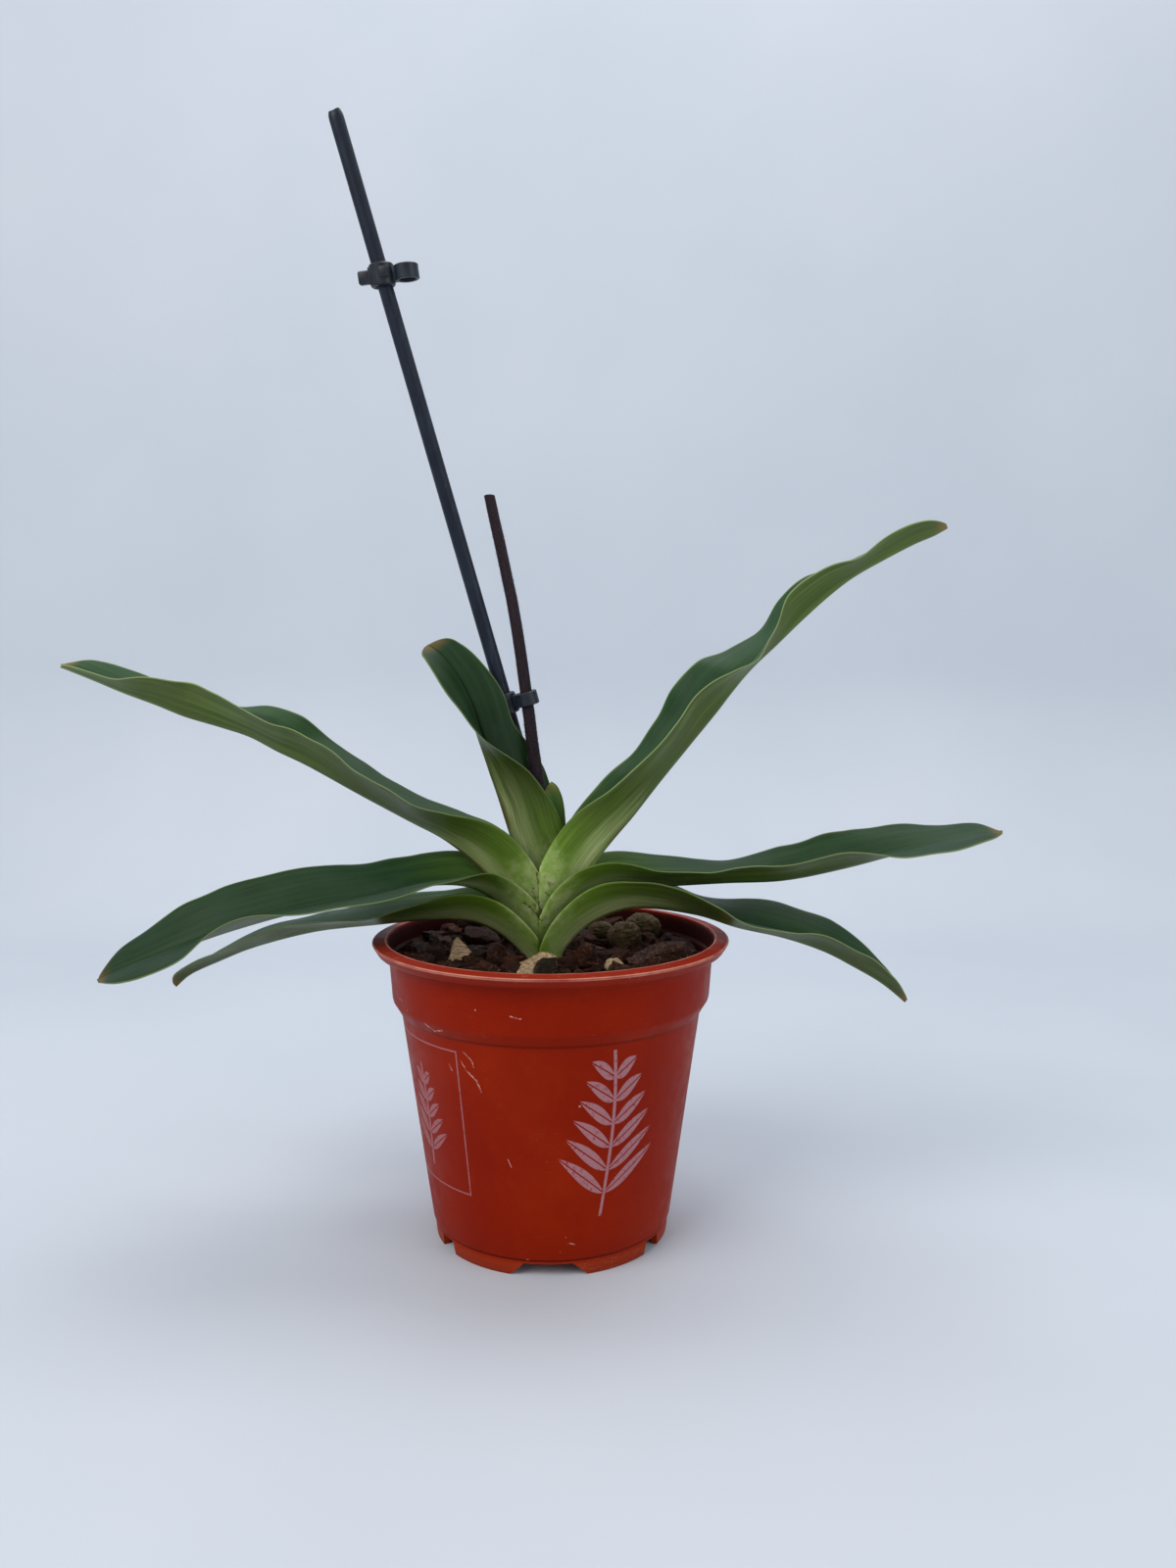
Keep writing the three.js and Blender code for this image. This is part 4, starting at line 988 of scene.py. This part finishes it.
def bark_bed(draw):
    """The plug of medium under a litter of chips and crumbs"""
    parts = []
    profile = [(0, 6.6), (38.6, 6.6), (48.6, 77), (50.9, 81.6), (52, 87.6), (44, 88.4), (22, 89), (0, 89)]
    sides = 96
    ring = [[r * math.cos(t), r * math.sin(t), z] for r, z in profile
            for t in np.arange(sides) * 2 * math.pi / sides]
    plug = np.array(ring)
    for i, point in enumerate(plug):
        if point[2] > 80:
            heap = litter_height(point[0], point[1]) * 0.8
            point[2] += 1.2 * noise.fractal(Vector(point / 7), 1, 2, 3) + heap
    # painted shade: the plug shows only in the gaps between the chips, so it is painted near black
    parts.append((plug, grid_faces(len(profile), sides, closed=True),
                  {"own_x": plug[:, 0], "own_y": plug[:, 1], "own_z": plug[:, 2], "dark": 0.7, "shade": 0.0,
                   "redness": 0.1}))
    for i in range(CHIP_COUNT):
        radius = CHIPS_REACH * math.sqrt((i + 0.5) / CHIP_COUNT)
        angle = i * GOLDEN_ANGLE + draw.normal(0, 0.05)
        x, y = radius * math.cos(angle), radius * math.sin(angle)
        upper = i % 2
        length = draw.uniform(6.5, 15) if upper else draw.uniform(8, 15)
        size = (length, length * draw.uniform(0.5, 0.85), draw.uniform(3.5, 8.5))
        lift = draw.uniform(0, 2.4) if upper else draw.uniform(-2.4, -0.4)
        height = MEDIUM_TOP + litter_height(x, y) + lift
        points, faces, values = rough_piece(draw, (x, y, height), size, draw.uniform(0, 360),
                                            draw.uniform(-38, 38), cuts=8 if upper else 5,
                                            boxiness=draw.uniform(0.2, 0.7))
        values.update(shade=draw.uniform(0.15, 1), redness=max(draw.normal(0.25, 0.4), 0))
        parts.append((inside_pot(points), faces, values))
    for place, size, turn, lean in CLEAR_CHIPS:
        points, faces, values = rough_piece(draw, place, size, turn, lean, cuts=8, boxiness=0.4, crag=0.16)
        values.update(shade=0.8, redness=0.35)
        parts.append((inside_pot(points), faces, values))
    for i in range(CRUMB_COUNT):
        radius, angle = 51 * math.sqrt(draw.uniform()), draw.uniform(0, 2 * math.pi)
        x, y = radius * math.cos(angle), radius * math.sin(angle)
        size = draw.uniform(0.8, 2.6) * np.array([1.3, 0.9, 0.7])
        place = (x, y, MEDIUM_TOP + litter_height(x, y) + draw.uniform(-0.5, 3))
        points, faces, values = rough_piece(draw, place, size, draw.uniform(0, 360), draw.uniform(-40, 40),
                                            cuts=2)
        values.update(shade=draw.uniform(0.3, 1), redness=max(draw.normal(0.2, 0.4), 0))
        parts.append((inside_pot(points), faces, values))
    return joined(parts)


# Pieces that show one by one: kind, place, size, turn, lean, boxiness, crag and the faces broken flat
LOOSE_PIECES = {
    "chip_tan_left": ("tan", [-28.5, -8, 92.6], [19, 9, 20], 8, 4, 0.35, 0.07,
                      [((0.8, 0.1, 0.7), 0.4, 0), ((-0.94, 0, 0.25), 0.6, 0), ((0.2, -0.9, 0.35), 0.5, 0)]),
    "chip_tan_centre": ("tan", [-4, -20.5, 94.6], [15, 10, 11.5], -8, 8, 0.45, 0.07,
                        [((-0.62, -0.2, 0.75), 0.42, 0), ((0.86, -0.5, 0.1), 0.42, 1),
                         ((0, -0.9, 0.4), 0.6, 0)]),
    "chip_pale_small": ("tan", [21, -16, 94.3], [7, 4, 5], 30, -18, 0.4, 0.08, [((0.5, -0.5, 0.7), 0.45, 0)]),
    "bark_chunk_right": ("chunk", [38, -6, 94], [26, 19, 13], 14, 6, 0.12, 0.10, [((-0.7, 0, 0.7), 0.62, 0)]),
    "bark_grey_front": ("grey", [25.5, 19, 95], [13, 11, 13], 35, -12, 0.05, 0.07, []),
    "bark_grey_back": ("grey", [32.5, 32, 96], [13.5, 11, 12], -20, 8, 0.05, 0.07, []),
    "bark_grey_left": ("grey", [17, 25.5, 95.6], [10.5, 8, 9], 10, 0, 0.08, 0.08, []),
}


# Pot


def pot_mesh(material):
    """The pot as a fine turned shell with its notched foot ring and drain holes cut out"""
    outside = [(0, FLOOR_UNDERSIDE), (FOOT_INNER_RADIUS - 0.3, FLOOR_UNDERSIDE),
               (FOOT_INNER_RADIUS, FLOOR_UNDERSIDE - 0.3), (FOOT_INNER_RADIUS, 0.25),
               (FOOT_INNER_RADIUS + 0.25, 0), (FOOT_RADIUS - 0.3, 0), (FOOT_RADIUS, 0.3),
               (FOOT_RADIUS + 0.45, 5), (FOOT_RADIUS + 0.3, 5.5), (FOOT_RADIUS + 0.9, 5.9),
               (FOOT_RADIUS + 1.1, 6.5), (42.2, 17), (50.5, 76.4), (50.7, 77), (51.2, 77.5), (52.9, 80.4),
               (53.3, 81), (53.55, 82), (54.3, 92), (54.7, 95.6), (55, 96.3), (55.7, 96.75), (57.6, 97.1),
               (58.2, 97.25), (58.5, 97.55), (59.55, 99.2), (59.85, 99.75), (60, 100.05), (59.95, 100.3),
               (59.7, 100.42), (59.2, 100.5), (56.2, 100.93), (55.7, 101), (55.4, 100.95), (55.2, 100.75)]
    inside = [(55.05, 100.3), (54.5, 95.2), (54.35, 94.7), (53.7, 94.2), (53.5, 93.8), (53.4, 93),
              (52.4, 81.8), (51.6, 80.2), (49.9, 78.6), (49.6, 77.4), (39.8, 7.2), (39, 6.2),
              (38.4, FLOOR_TOP), (0, FLOOR_TOP)]
    profile = outside + inside
    turns = np.arange(POT_SEGMENTS) * 2 * math.pi / POT_SEGMENTS
    points = np.array([[r * math.cos(t), r * math.sin(t), z] for r, z in profile[1:-1] for t in turns])
    rows = len(profile) - 2
    faces = grid_faces(rows, POT_SEGMENTS, closed=True)
    lowest, highest = len(points), len(points) + 1
    points = np.vstack([points, [0, 0, FLOOR_UNDERSIDE], [0, 0, FLOOR_TOP]])
    last = (rows - 1) * POT_SEGMENTS
    for k in range(POT_SEGMENTS):
        following = (k + 1) % POT_SEGMENTS
        faces.append((lowest, following, k))
        faces.append((highest, last + k, last + following))
    inner = np.zeros(len(points))
    inner[(len(outside) - 1) * POT_SEGMENTS:-2] = 1
    inner[-1] = 1
    pot = make_piece("pot_shell", points, outward(points, faces), material, ["pot"], {"inside": inner})
    cutters = []
    for middle, low, high in FOOT_NOTCHES:
        corners = []
        for radius in (FOOT_INNER_RADIUS - 3, FOOT_RADIUS + 4):
            for turn, z in ((-low, -1), (low, -1), (high, NOTCH_HEIGHT), (-high, NOTCH_HEIGHT)):
                angle = math.radians(middle + turn)
                corners.append([radius * math.cos(angle), radius * math.sin(angle), z])
        cutters.append((np.array(corners), [(0, 1, 2, 3), (4, 7, 6, 5), (0, 4, 5, 1), (1, 5, 6, 2),
                                            (2, 6, 7, 3), (3, 7, 4, 0)], {}))
    for i in range(DRAIN_COUNT):
        angle = (i + 0.5) / DRAIN_COUNT * 2 * math.pi
        centre = DRAIN_RING_RADIUS * np.array([math.cos(angle), math.sin(angle)])
        ring = [[centre[0] + DRAIN_RADIUS * math.cos(t), centre[1] + DRAIN_RADIUS * math.sin(t), z]
                for z in (3, 8) for t in np.arange(24) * 2 * math.pi / 24]
        sides = [(k, (k + 1) % 24, 24 + (k + 1) % 24, 24 + k) for k in range(24)]
        cutters.append((np.array(ring), sides + [tuple(range(24))[::-1], tuple(range(24, 48))], {}))
    points, faces, _ = joined([(part, outward(part, sides), {}) for part, sides, _ in cutters])
    mesh = bpy.data.meshes.new("cutter")
    mesh.from_pydata((points * MM + POT_AXIS).tolist(), [], faces)
    cutter = bpy.data.objects.new("cutter", mesh)
    bpy.context.scene.collection.objects.link(cutter)
    cut = pot.modifiers.new("cut", "BOOLEAN")
    cut.operation = "DIFFERENCE"
    cut.solver = "EXACT"
    cut.object = cutter
    apply_modifiers(pot)
    bpy.data.objects.remove(cutter)
    pot.data.shade_smooth()
    pot.data.set_sharp_from_angle(angle=math.radians(40))
    return pot


def apply_modifiers(piece):
    """The piece keeps the mesh that its modifiers make"""
    graph = bpy.context.evaluated_depsgraph_get()
    made = bpy.data.meshes.new_from_object(piece.evaluated_get(graph), preserve_all_data_layers=True,
                                           depsgraph=graph)
    piece.modifiers.clear()
    piece.data = made


# The pieces

leaf_materials = {
    "leaf": leaf_paint("leaf_skin", LEAF_UPPER_TONES, LEAF_UNDER_TONES),
    "sheath": leaf_paint("sheath_skin", SHEATH_UPPER_TONES, SHEATH_UNDER_TONES, base_reach=30,
                         keel_share=0.15),
}
for index, (leaf_name, leaf_data) in enumerate(LEAVES.items()):
    kind = "sheath" if leaf_name == "flower_sheath" else "leaf"
    make_leaf(leaf_name, leaf_data, index + 1, leaf_materials[kind], kind)


# Flower stem with its hairs


def stem_shape(angle, travelled):
    return 1 + 0.035 * noise.noise(Vector((2 * math.cos(angle), 2 * math.sin(angle), travelled / 9)))


stem_rings = 170
stem_radii = np.linspace(STEM_FOOT_RADIUS, STEM_TOP_RADIUS, stem_rings)
stem_points, stem_faces, stem_values = tube(STEM_POINTS, stem_radii, 28, STEM_CUT_SLOPE, stem_shape)
make_piece("flower_stem_body", stem_points, outward(stem_points, stem_faces), stem_paint(),
           ["flower_stem"], stem_values, sharp=50)


def stem_hairs(draw):
    """Short three-sided hairs standing out of the stem"""
    parts = []
    for _ in range(STEM_HAIRS):
        fraction = draw.uniform(0.02, 0.985)
        centre = along_rows(STEM_POINTS, fraction)[:3]
        tangent = tangent_along(STEM_POINTS, fraction)
        sideways = np.cross(tangent, [0, 1, 0])
        sideways /= np.linalg.norm(sideways)
        across = np.cross(tangent, sideways)
        angle = draw.uniform(0, 2 * math.pi)
        out = math.cos(angle) * sideways + math.sin(angle) * across
        radius = STEM_FOOT_RADIUS + (STEM_TOP_RADIUS - STEM_FOOT_RADIUS) * fraction
        foot = centre + out * radius * 0.97
        lean = out + tangent * draw.uniform(0.1, 0.6) + draw.normal(0, 0.15, 3)
        tip = foot + lean / np.linalg.norm(lean) * draw.uniform(0.35, 0.8)
        around = np.cross(out, tangent)
        base = [foot + 0.045 * (math.cos(t) * tangent + math.sin(t) * around) for t in (0, 2.1, 4.2)]
        parts.append((np.array(base + [tip]), [(0, 1, 3), (1, 2, 3), (2, 0, 3)], {}))
    return joined(parts)


hair_points, hair_faces, _ = stem_hairs(np.random.default_rng(3))
make_piece("flower_stem_hairs", hair_points, hair_faces, hair_paint())


# Stake: a round rod with shallow flats and a broken-off, notched end


def stake_shape(angle, travelled):
    flats = 0.025 * abs(math.cos(3 * angle))
    place = Vector((3 * math.cos(angle), 3 * math.sin(angle), travelled / 14))
    return 0.985 + flats + 0.006 * noise.noise(place)


def stake_mesh(material):
    rings = 260
    points, faces, values = tube([STAKE_FOOT, STAKE_TIP], np.full(rings, STAKE_RADIUS), 36, 0, stake_shape)
    along = (STAKE_TIP - STAKE_FOOT) / np.linalg.norm(STAKE_TIP - STAKE_FOOT)
    last = (rings - 1) * 36
    middle = points[-1].copy()
    for ring, depth in ((rings - 1, 1.0), (rings - 2, 0.45)):
        for k in range(36):
            index = ring * 36 + k
            lumps = 0.5 - 0.5 * math.cos(2 * values["turn"][index] + 0.6)
            points[index] -= along * depth * 0.8 * lumps
            points[index] += (middle - points[index]) * (0.24 if depth == 1 else 0.05)
    points[-1] -= along * 0.9
    make_piece("stake_rod", points, outward(points, faces), material, ["stake"], sharp=55)


stake_mesh(stake_paint())


# Clips, measured from the stake's axis: along the arm, across it and up

CLIP_RING_REACH = 8.1
# Size, centre and bevel of each block: the grip, its plate, the neck and the two side lugs
CLIP_BLOCKS = [((4.6, 2.6, 4.2), (-5.5, 0, 0), 0.7), ((1.2, 3.6, 5.4), (-3.6, 0, 0), 0.3),
               ((1.9, 3.4, 4.8), (4.4, 0, 0), 0.35), ((3.2, 1.3, 3.4), (1.4, -3.5, 0.3), 0.35),
               ((3.2, 1.3, 3.4), (1.4, 3.5, 0.3), 0.35)]


def rounded_ring(outer, bore, height, bevel, sides=64):
    """A ring of square section with rounded corners, standing on its axis"""
    z = height / 2
    section = [(outer - bevel, z), (outer, z - bevel), (outer, bevel - z), (outer - bevel, -z),
               (bore + bevel, -z), (bore, bevel - z), (bore, z - bevel), (bore + bevel, z)]
    turns = np.linspace(0, 2 * math.pi, sides, endpoint=False)
    points = np.array([[r * math.cos(t), r * math.sin(t), h] for t in turns for r, h in section])
    faces = grid_faces(sides, len(section), closed=True)
    faces += [(len(points) - 8 + k, len(points) - 8 + (k + 1) % 8, (k + 1) % 8, k) for k in range(8)]
    return points, faces, {}


def rounded_block(size, centre, bevel):
    """A block with rounded edges"""
    mesh = bmesh.new()
    bmesh.ops.create_cube(mesh, size=1, matrix=Matrix.Diagonal((*size, 1)))
    bmesh.ops.bevel(mesh, geom=mesh.edges[:], offset=bevel, segments=3, profile=0.5, affect="EDGES")
    points = np.array([vertex.co for vertex in mesh.verts]) + np.array(centre)
    faces = [tuple(vertex.index for vertex in face.verts) for face in mesh.faces]
    mesh.free()
    return points, faces, {}


def clip_mesh(name, height, direction, sag, material):
    stake_line = STAKE_TIP - STAKE_FOOT
    centre = STAKE_FOOT + stake_line * (height - STAKE_FOOT[2]) / stake_line[2]
    up = stake_line / np.linalg.norm(stake_line)
    towards = np.array(direction, float)
    towards -= towards @ up * up
    towards /= np.linalg.norm(towards)
    sideways = np.cross(up, towards)
    sag = math.radians(sag)
    towards, up = math.cos(sag) * towards - math.sin(sag) * up, math.cos(sag) * up + math.sin(sag) * towards
    collar = rounded_ring(outer=3.95, bore=STAKE_RADIUS + 0.1, height=7.0, bevel=0.4, sides=48)
    ring_points, ring_faces, _ = rounded_ring(outer=3.9, bore=2.75, height=4.6, bevel=0.25)
    parts = [collar, (ring_points + [CLIP_RING_REACH, 0, 0], ring_faces, {})]
    parts += [rounded_block(*block) for block in CLIP_BLOCKS]
    parts = [(points, outward(points, faces), values) for points, faces, values in parts]
    points, faces, _ = joined(parts)
    points = points @ np.array([towards, sideways, up]) + centre
    make_piece(name + "_body", points, faces, material, [name], sharp=40)


clip_material = clip_paint()
for clip_name, (clip_height, clip_direction, clip_sag) in CLIPS.items():
    clip_mesh(clip_name, clip_height, clip_direction, clip_sag, clip_material)


# Crown with its roots


def crown_mesh(material):
    profile = [(0, 72), (3, 72.5), (5.2, 76), (5.8, 80), (5.9, 84), (5.6, 88), (5, 92), (4.3, 96), (3.4, 99),
               (2.4, 101.5), (0, 102)]
    sides, steps = 40, 60
    rows = np.array([along_rows(profile, i / (steps - 1)) for i in range(steps)])
    body = np.array([[max(r, 0.02) * math.cos(t) - 1, 0.8 * max(r, 0.02) * math.sin(t), z]
                     for r, z in rows for t in np.arange(sides) * 2 * math.pi / sides])
    for i, point in enumerate(body):
        push = 0.45 * noise.fractal(Vector(point / 3.2), 1, 2, 3)
        out = np.array([point[0] + 1, point[1], 0])
        body[i] = point + push * out / (np.linalg.norm(out) + 0.5)
    faces = grid_faces(steps, sides, closed=True)
    faces += [tuple(range(sides))[::-1], tuple(range(len(body) - sides, len(body)))]
    parts = [(body, outward(body, faces), {})]
    for turn, spread, end in ROOTS:
        away = np.array([math.cos(math.radians(turn)), math.sin(math.radians(turn)), 0])
        stations = ((1, 80), (0.4 * spread, 70), (0.85 * spread, 52), (spread, end))
        line = [away * reach + [-1, 0, z] for reach, z in stations]
        radii = np.full(40, ROOT_RADIUS) * np.r_[np.ones(36), [0.97, 0.9, 0.75, 0.4]]
        points, faces, _ = tube(line, radii, 16)
        parts.append((points, outward(points, faces), {}))
    points, faces, _ = joined(parts)
    make_piece("crown_body", points, faces, material, ["crown"])


crown_mesh(crown_paint())

# Pot, bark and loose pieces

pot_mesh(pot_paint())
bed_points, bed_faces, bed_values = bark_bed(np.random.default_rng(BARK_SEED))
make_piece("bark_bed", bed_points, bed_faces, bark_paint("bark_dark", BARK_TONES, "c8ab8c", 0.07),
           ["bark_medium"], bed_values, sharp=24)
loose_paints = {
    "tan": bark_paint("bark_tan", ["7c6448", "c6ae8a", "e8d8ba", "fbf3e2"], "fffaf0", 0.10),
    "chunk": bark_paint("bark_chunk", ["170b08", "351e15", "5c3b2e", "947362"], "e8dcc4", 0.18),
    "grey": bark_paint("bark_grey", ["281e12", "5a4c34", "837253", "aa9b78"], "c4b894", 0.12,
                       "505428", 0.10),
}
loose_draw = np.random.default_rng(BARK_SEED + 1)
for loose_name, (kind, place, size, turn, lean, boxiness, crag, faces_cut) in LOOSE_PIECES.items():
    planes = 0 if kind == "grey" else 3
    loose_points, loose_faces, loose_values = rough_piece(loose_draw, place, size, turn, lean, 16, boxiness,
                                                          planes, crag, faces_cut)
    loose_values.update(shade=np.ones(len(loose_points)), redness=np.zeros(len(loose_points)))
    make_piece(loose_name + "_piece", loose_points, loose_faces, loose_paints[kind],
               [loose_name], loose_values, sharp=35)


# Floor, backdrop, light and camera


def sweep(material):
    """A pale floor that runs on into a pale backdrop"""
    width, front, bend, radius, height = 1400, -700, 420, 200, 1100
    turns = np.linspace(0, math.pi / 2, 24)
    curve = [(bend + radius * math.sin(t), radius - radius * math.cos(t)) for t in turns]
    profile = [(front, 0)] + curve + [(bend + radius, height)]
    points = np.array([[x, y, z] for y, z in profile for x in (-width, width)], float)
    mesh = bpy.data.meshes.new("sweep")
    mesh.from_pydata((points * MM).tolist(), [], grid_faces(len(profile), 2))
    mesh.materials.append(material)
    mesh.shade_smooth()
    floor = bpy.data.objects.new("sweep", mesh)
    bpy.context.scene.collection.objects.link(floor)


floor_paint = Paint("floor_matt", Roughness=0.7, Specular_IOR_Level=0.25)
floor_paint.set(Base_Color=floor_paint.ramp(floor_paint.noise(floor_paint.place(), 4, 3),
                                            [(0.3, "c9d1dc"), (0.7, "d0d7e1")]))
sweep(floor_paint.material)


def area_light(name, place, size, power, tint):
    data = bpy.data.lights.new(name, "AREA")
    data.shape = "RECTANGLE"
    data.size, data.size_y = size
    data.energy = power
    data.color = tint
    light = bpy.data.objects.new(name, data)
    light.location = place
    light.rotation_euler = (Vector(LIGHTS_AIM) - Vector(place)).to_track_quat("-Z", "Y").to_euler()
    bpy.context.scene.collection.objects.link(light)


for light_name, light_settings in LIGHTS.items():
    area_light(light_name, *light_settings)

world = bpy.data.worlds.new("studio")
world.use_nodes = True
world.node_tree.nodes["Background"].inputs["Color"].default_value = WORLD_TINT
world.node_tree.nodes["Background"].inputs["Strength"].default_value = WORLD_STRENGTH
bpy.context.scene.world = world
bpy.context.scene.view_settings.view_transform = "Standard"

camera_data = bpy.data.cameras.new("camera")
camera_data.sensor_width = 36
camera_data.lens = FOCAL_PIXELS / PHOTO_HEIGHT * camera_data.sensor_width
camera_data.clip_start = 0.01
camera = bpy.data.objects.new("camera", camera_data)
camera.location = np.array(CAMERA_PLACE) * MM + POT_AXIS
camera.rotation_euler = (math.radians(90 - CAMERA_PITCH), 0, 0)
bpy.context.scene.collection.objects.link(camera)
bpy.context.scene.camera = camera
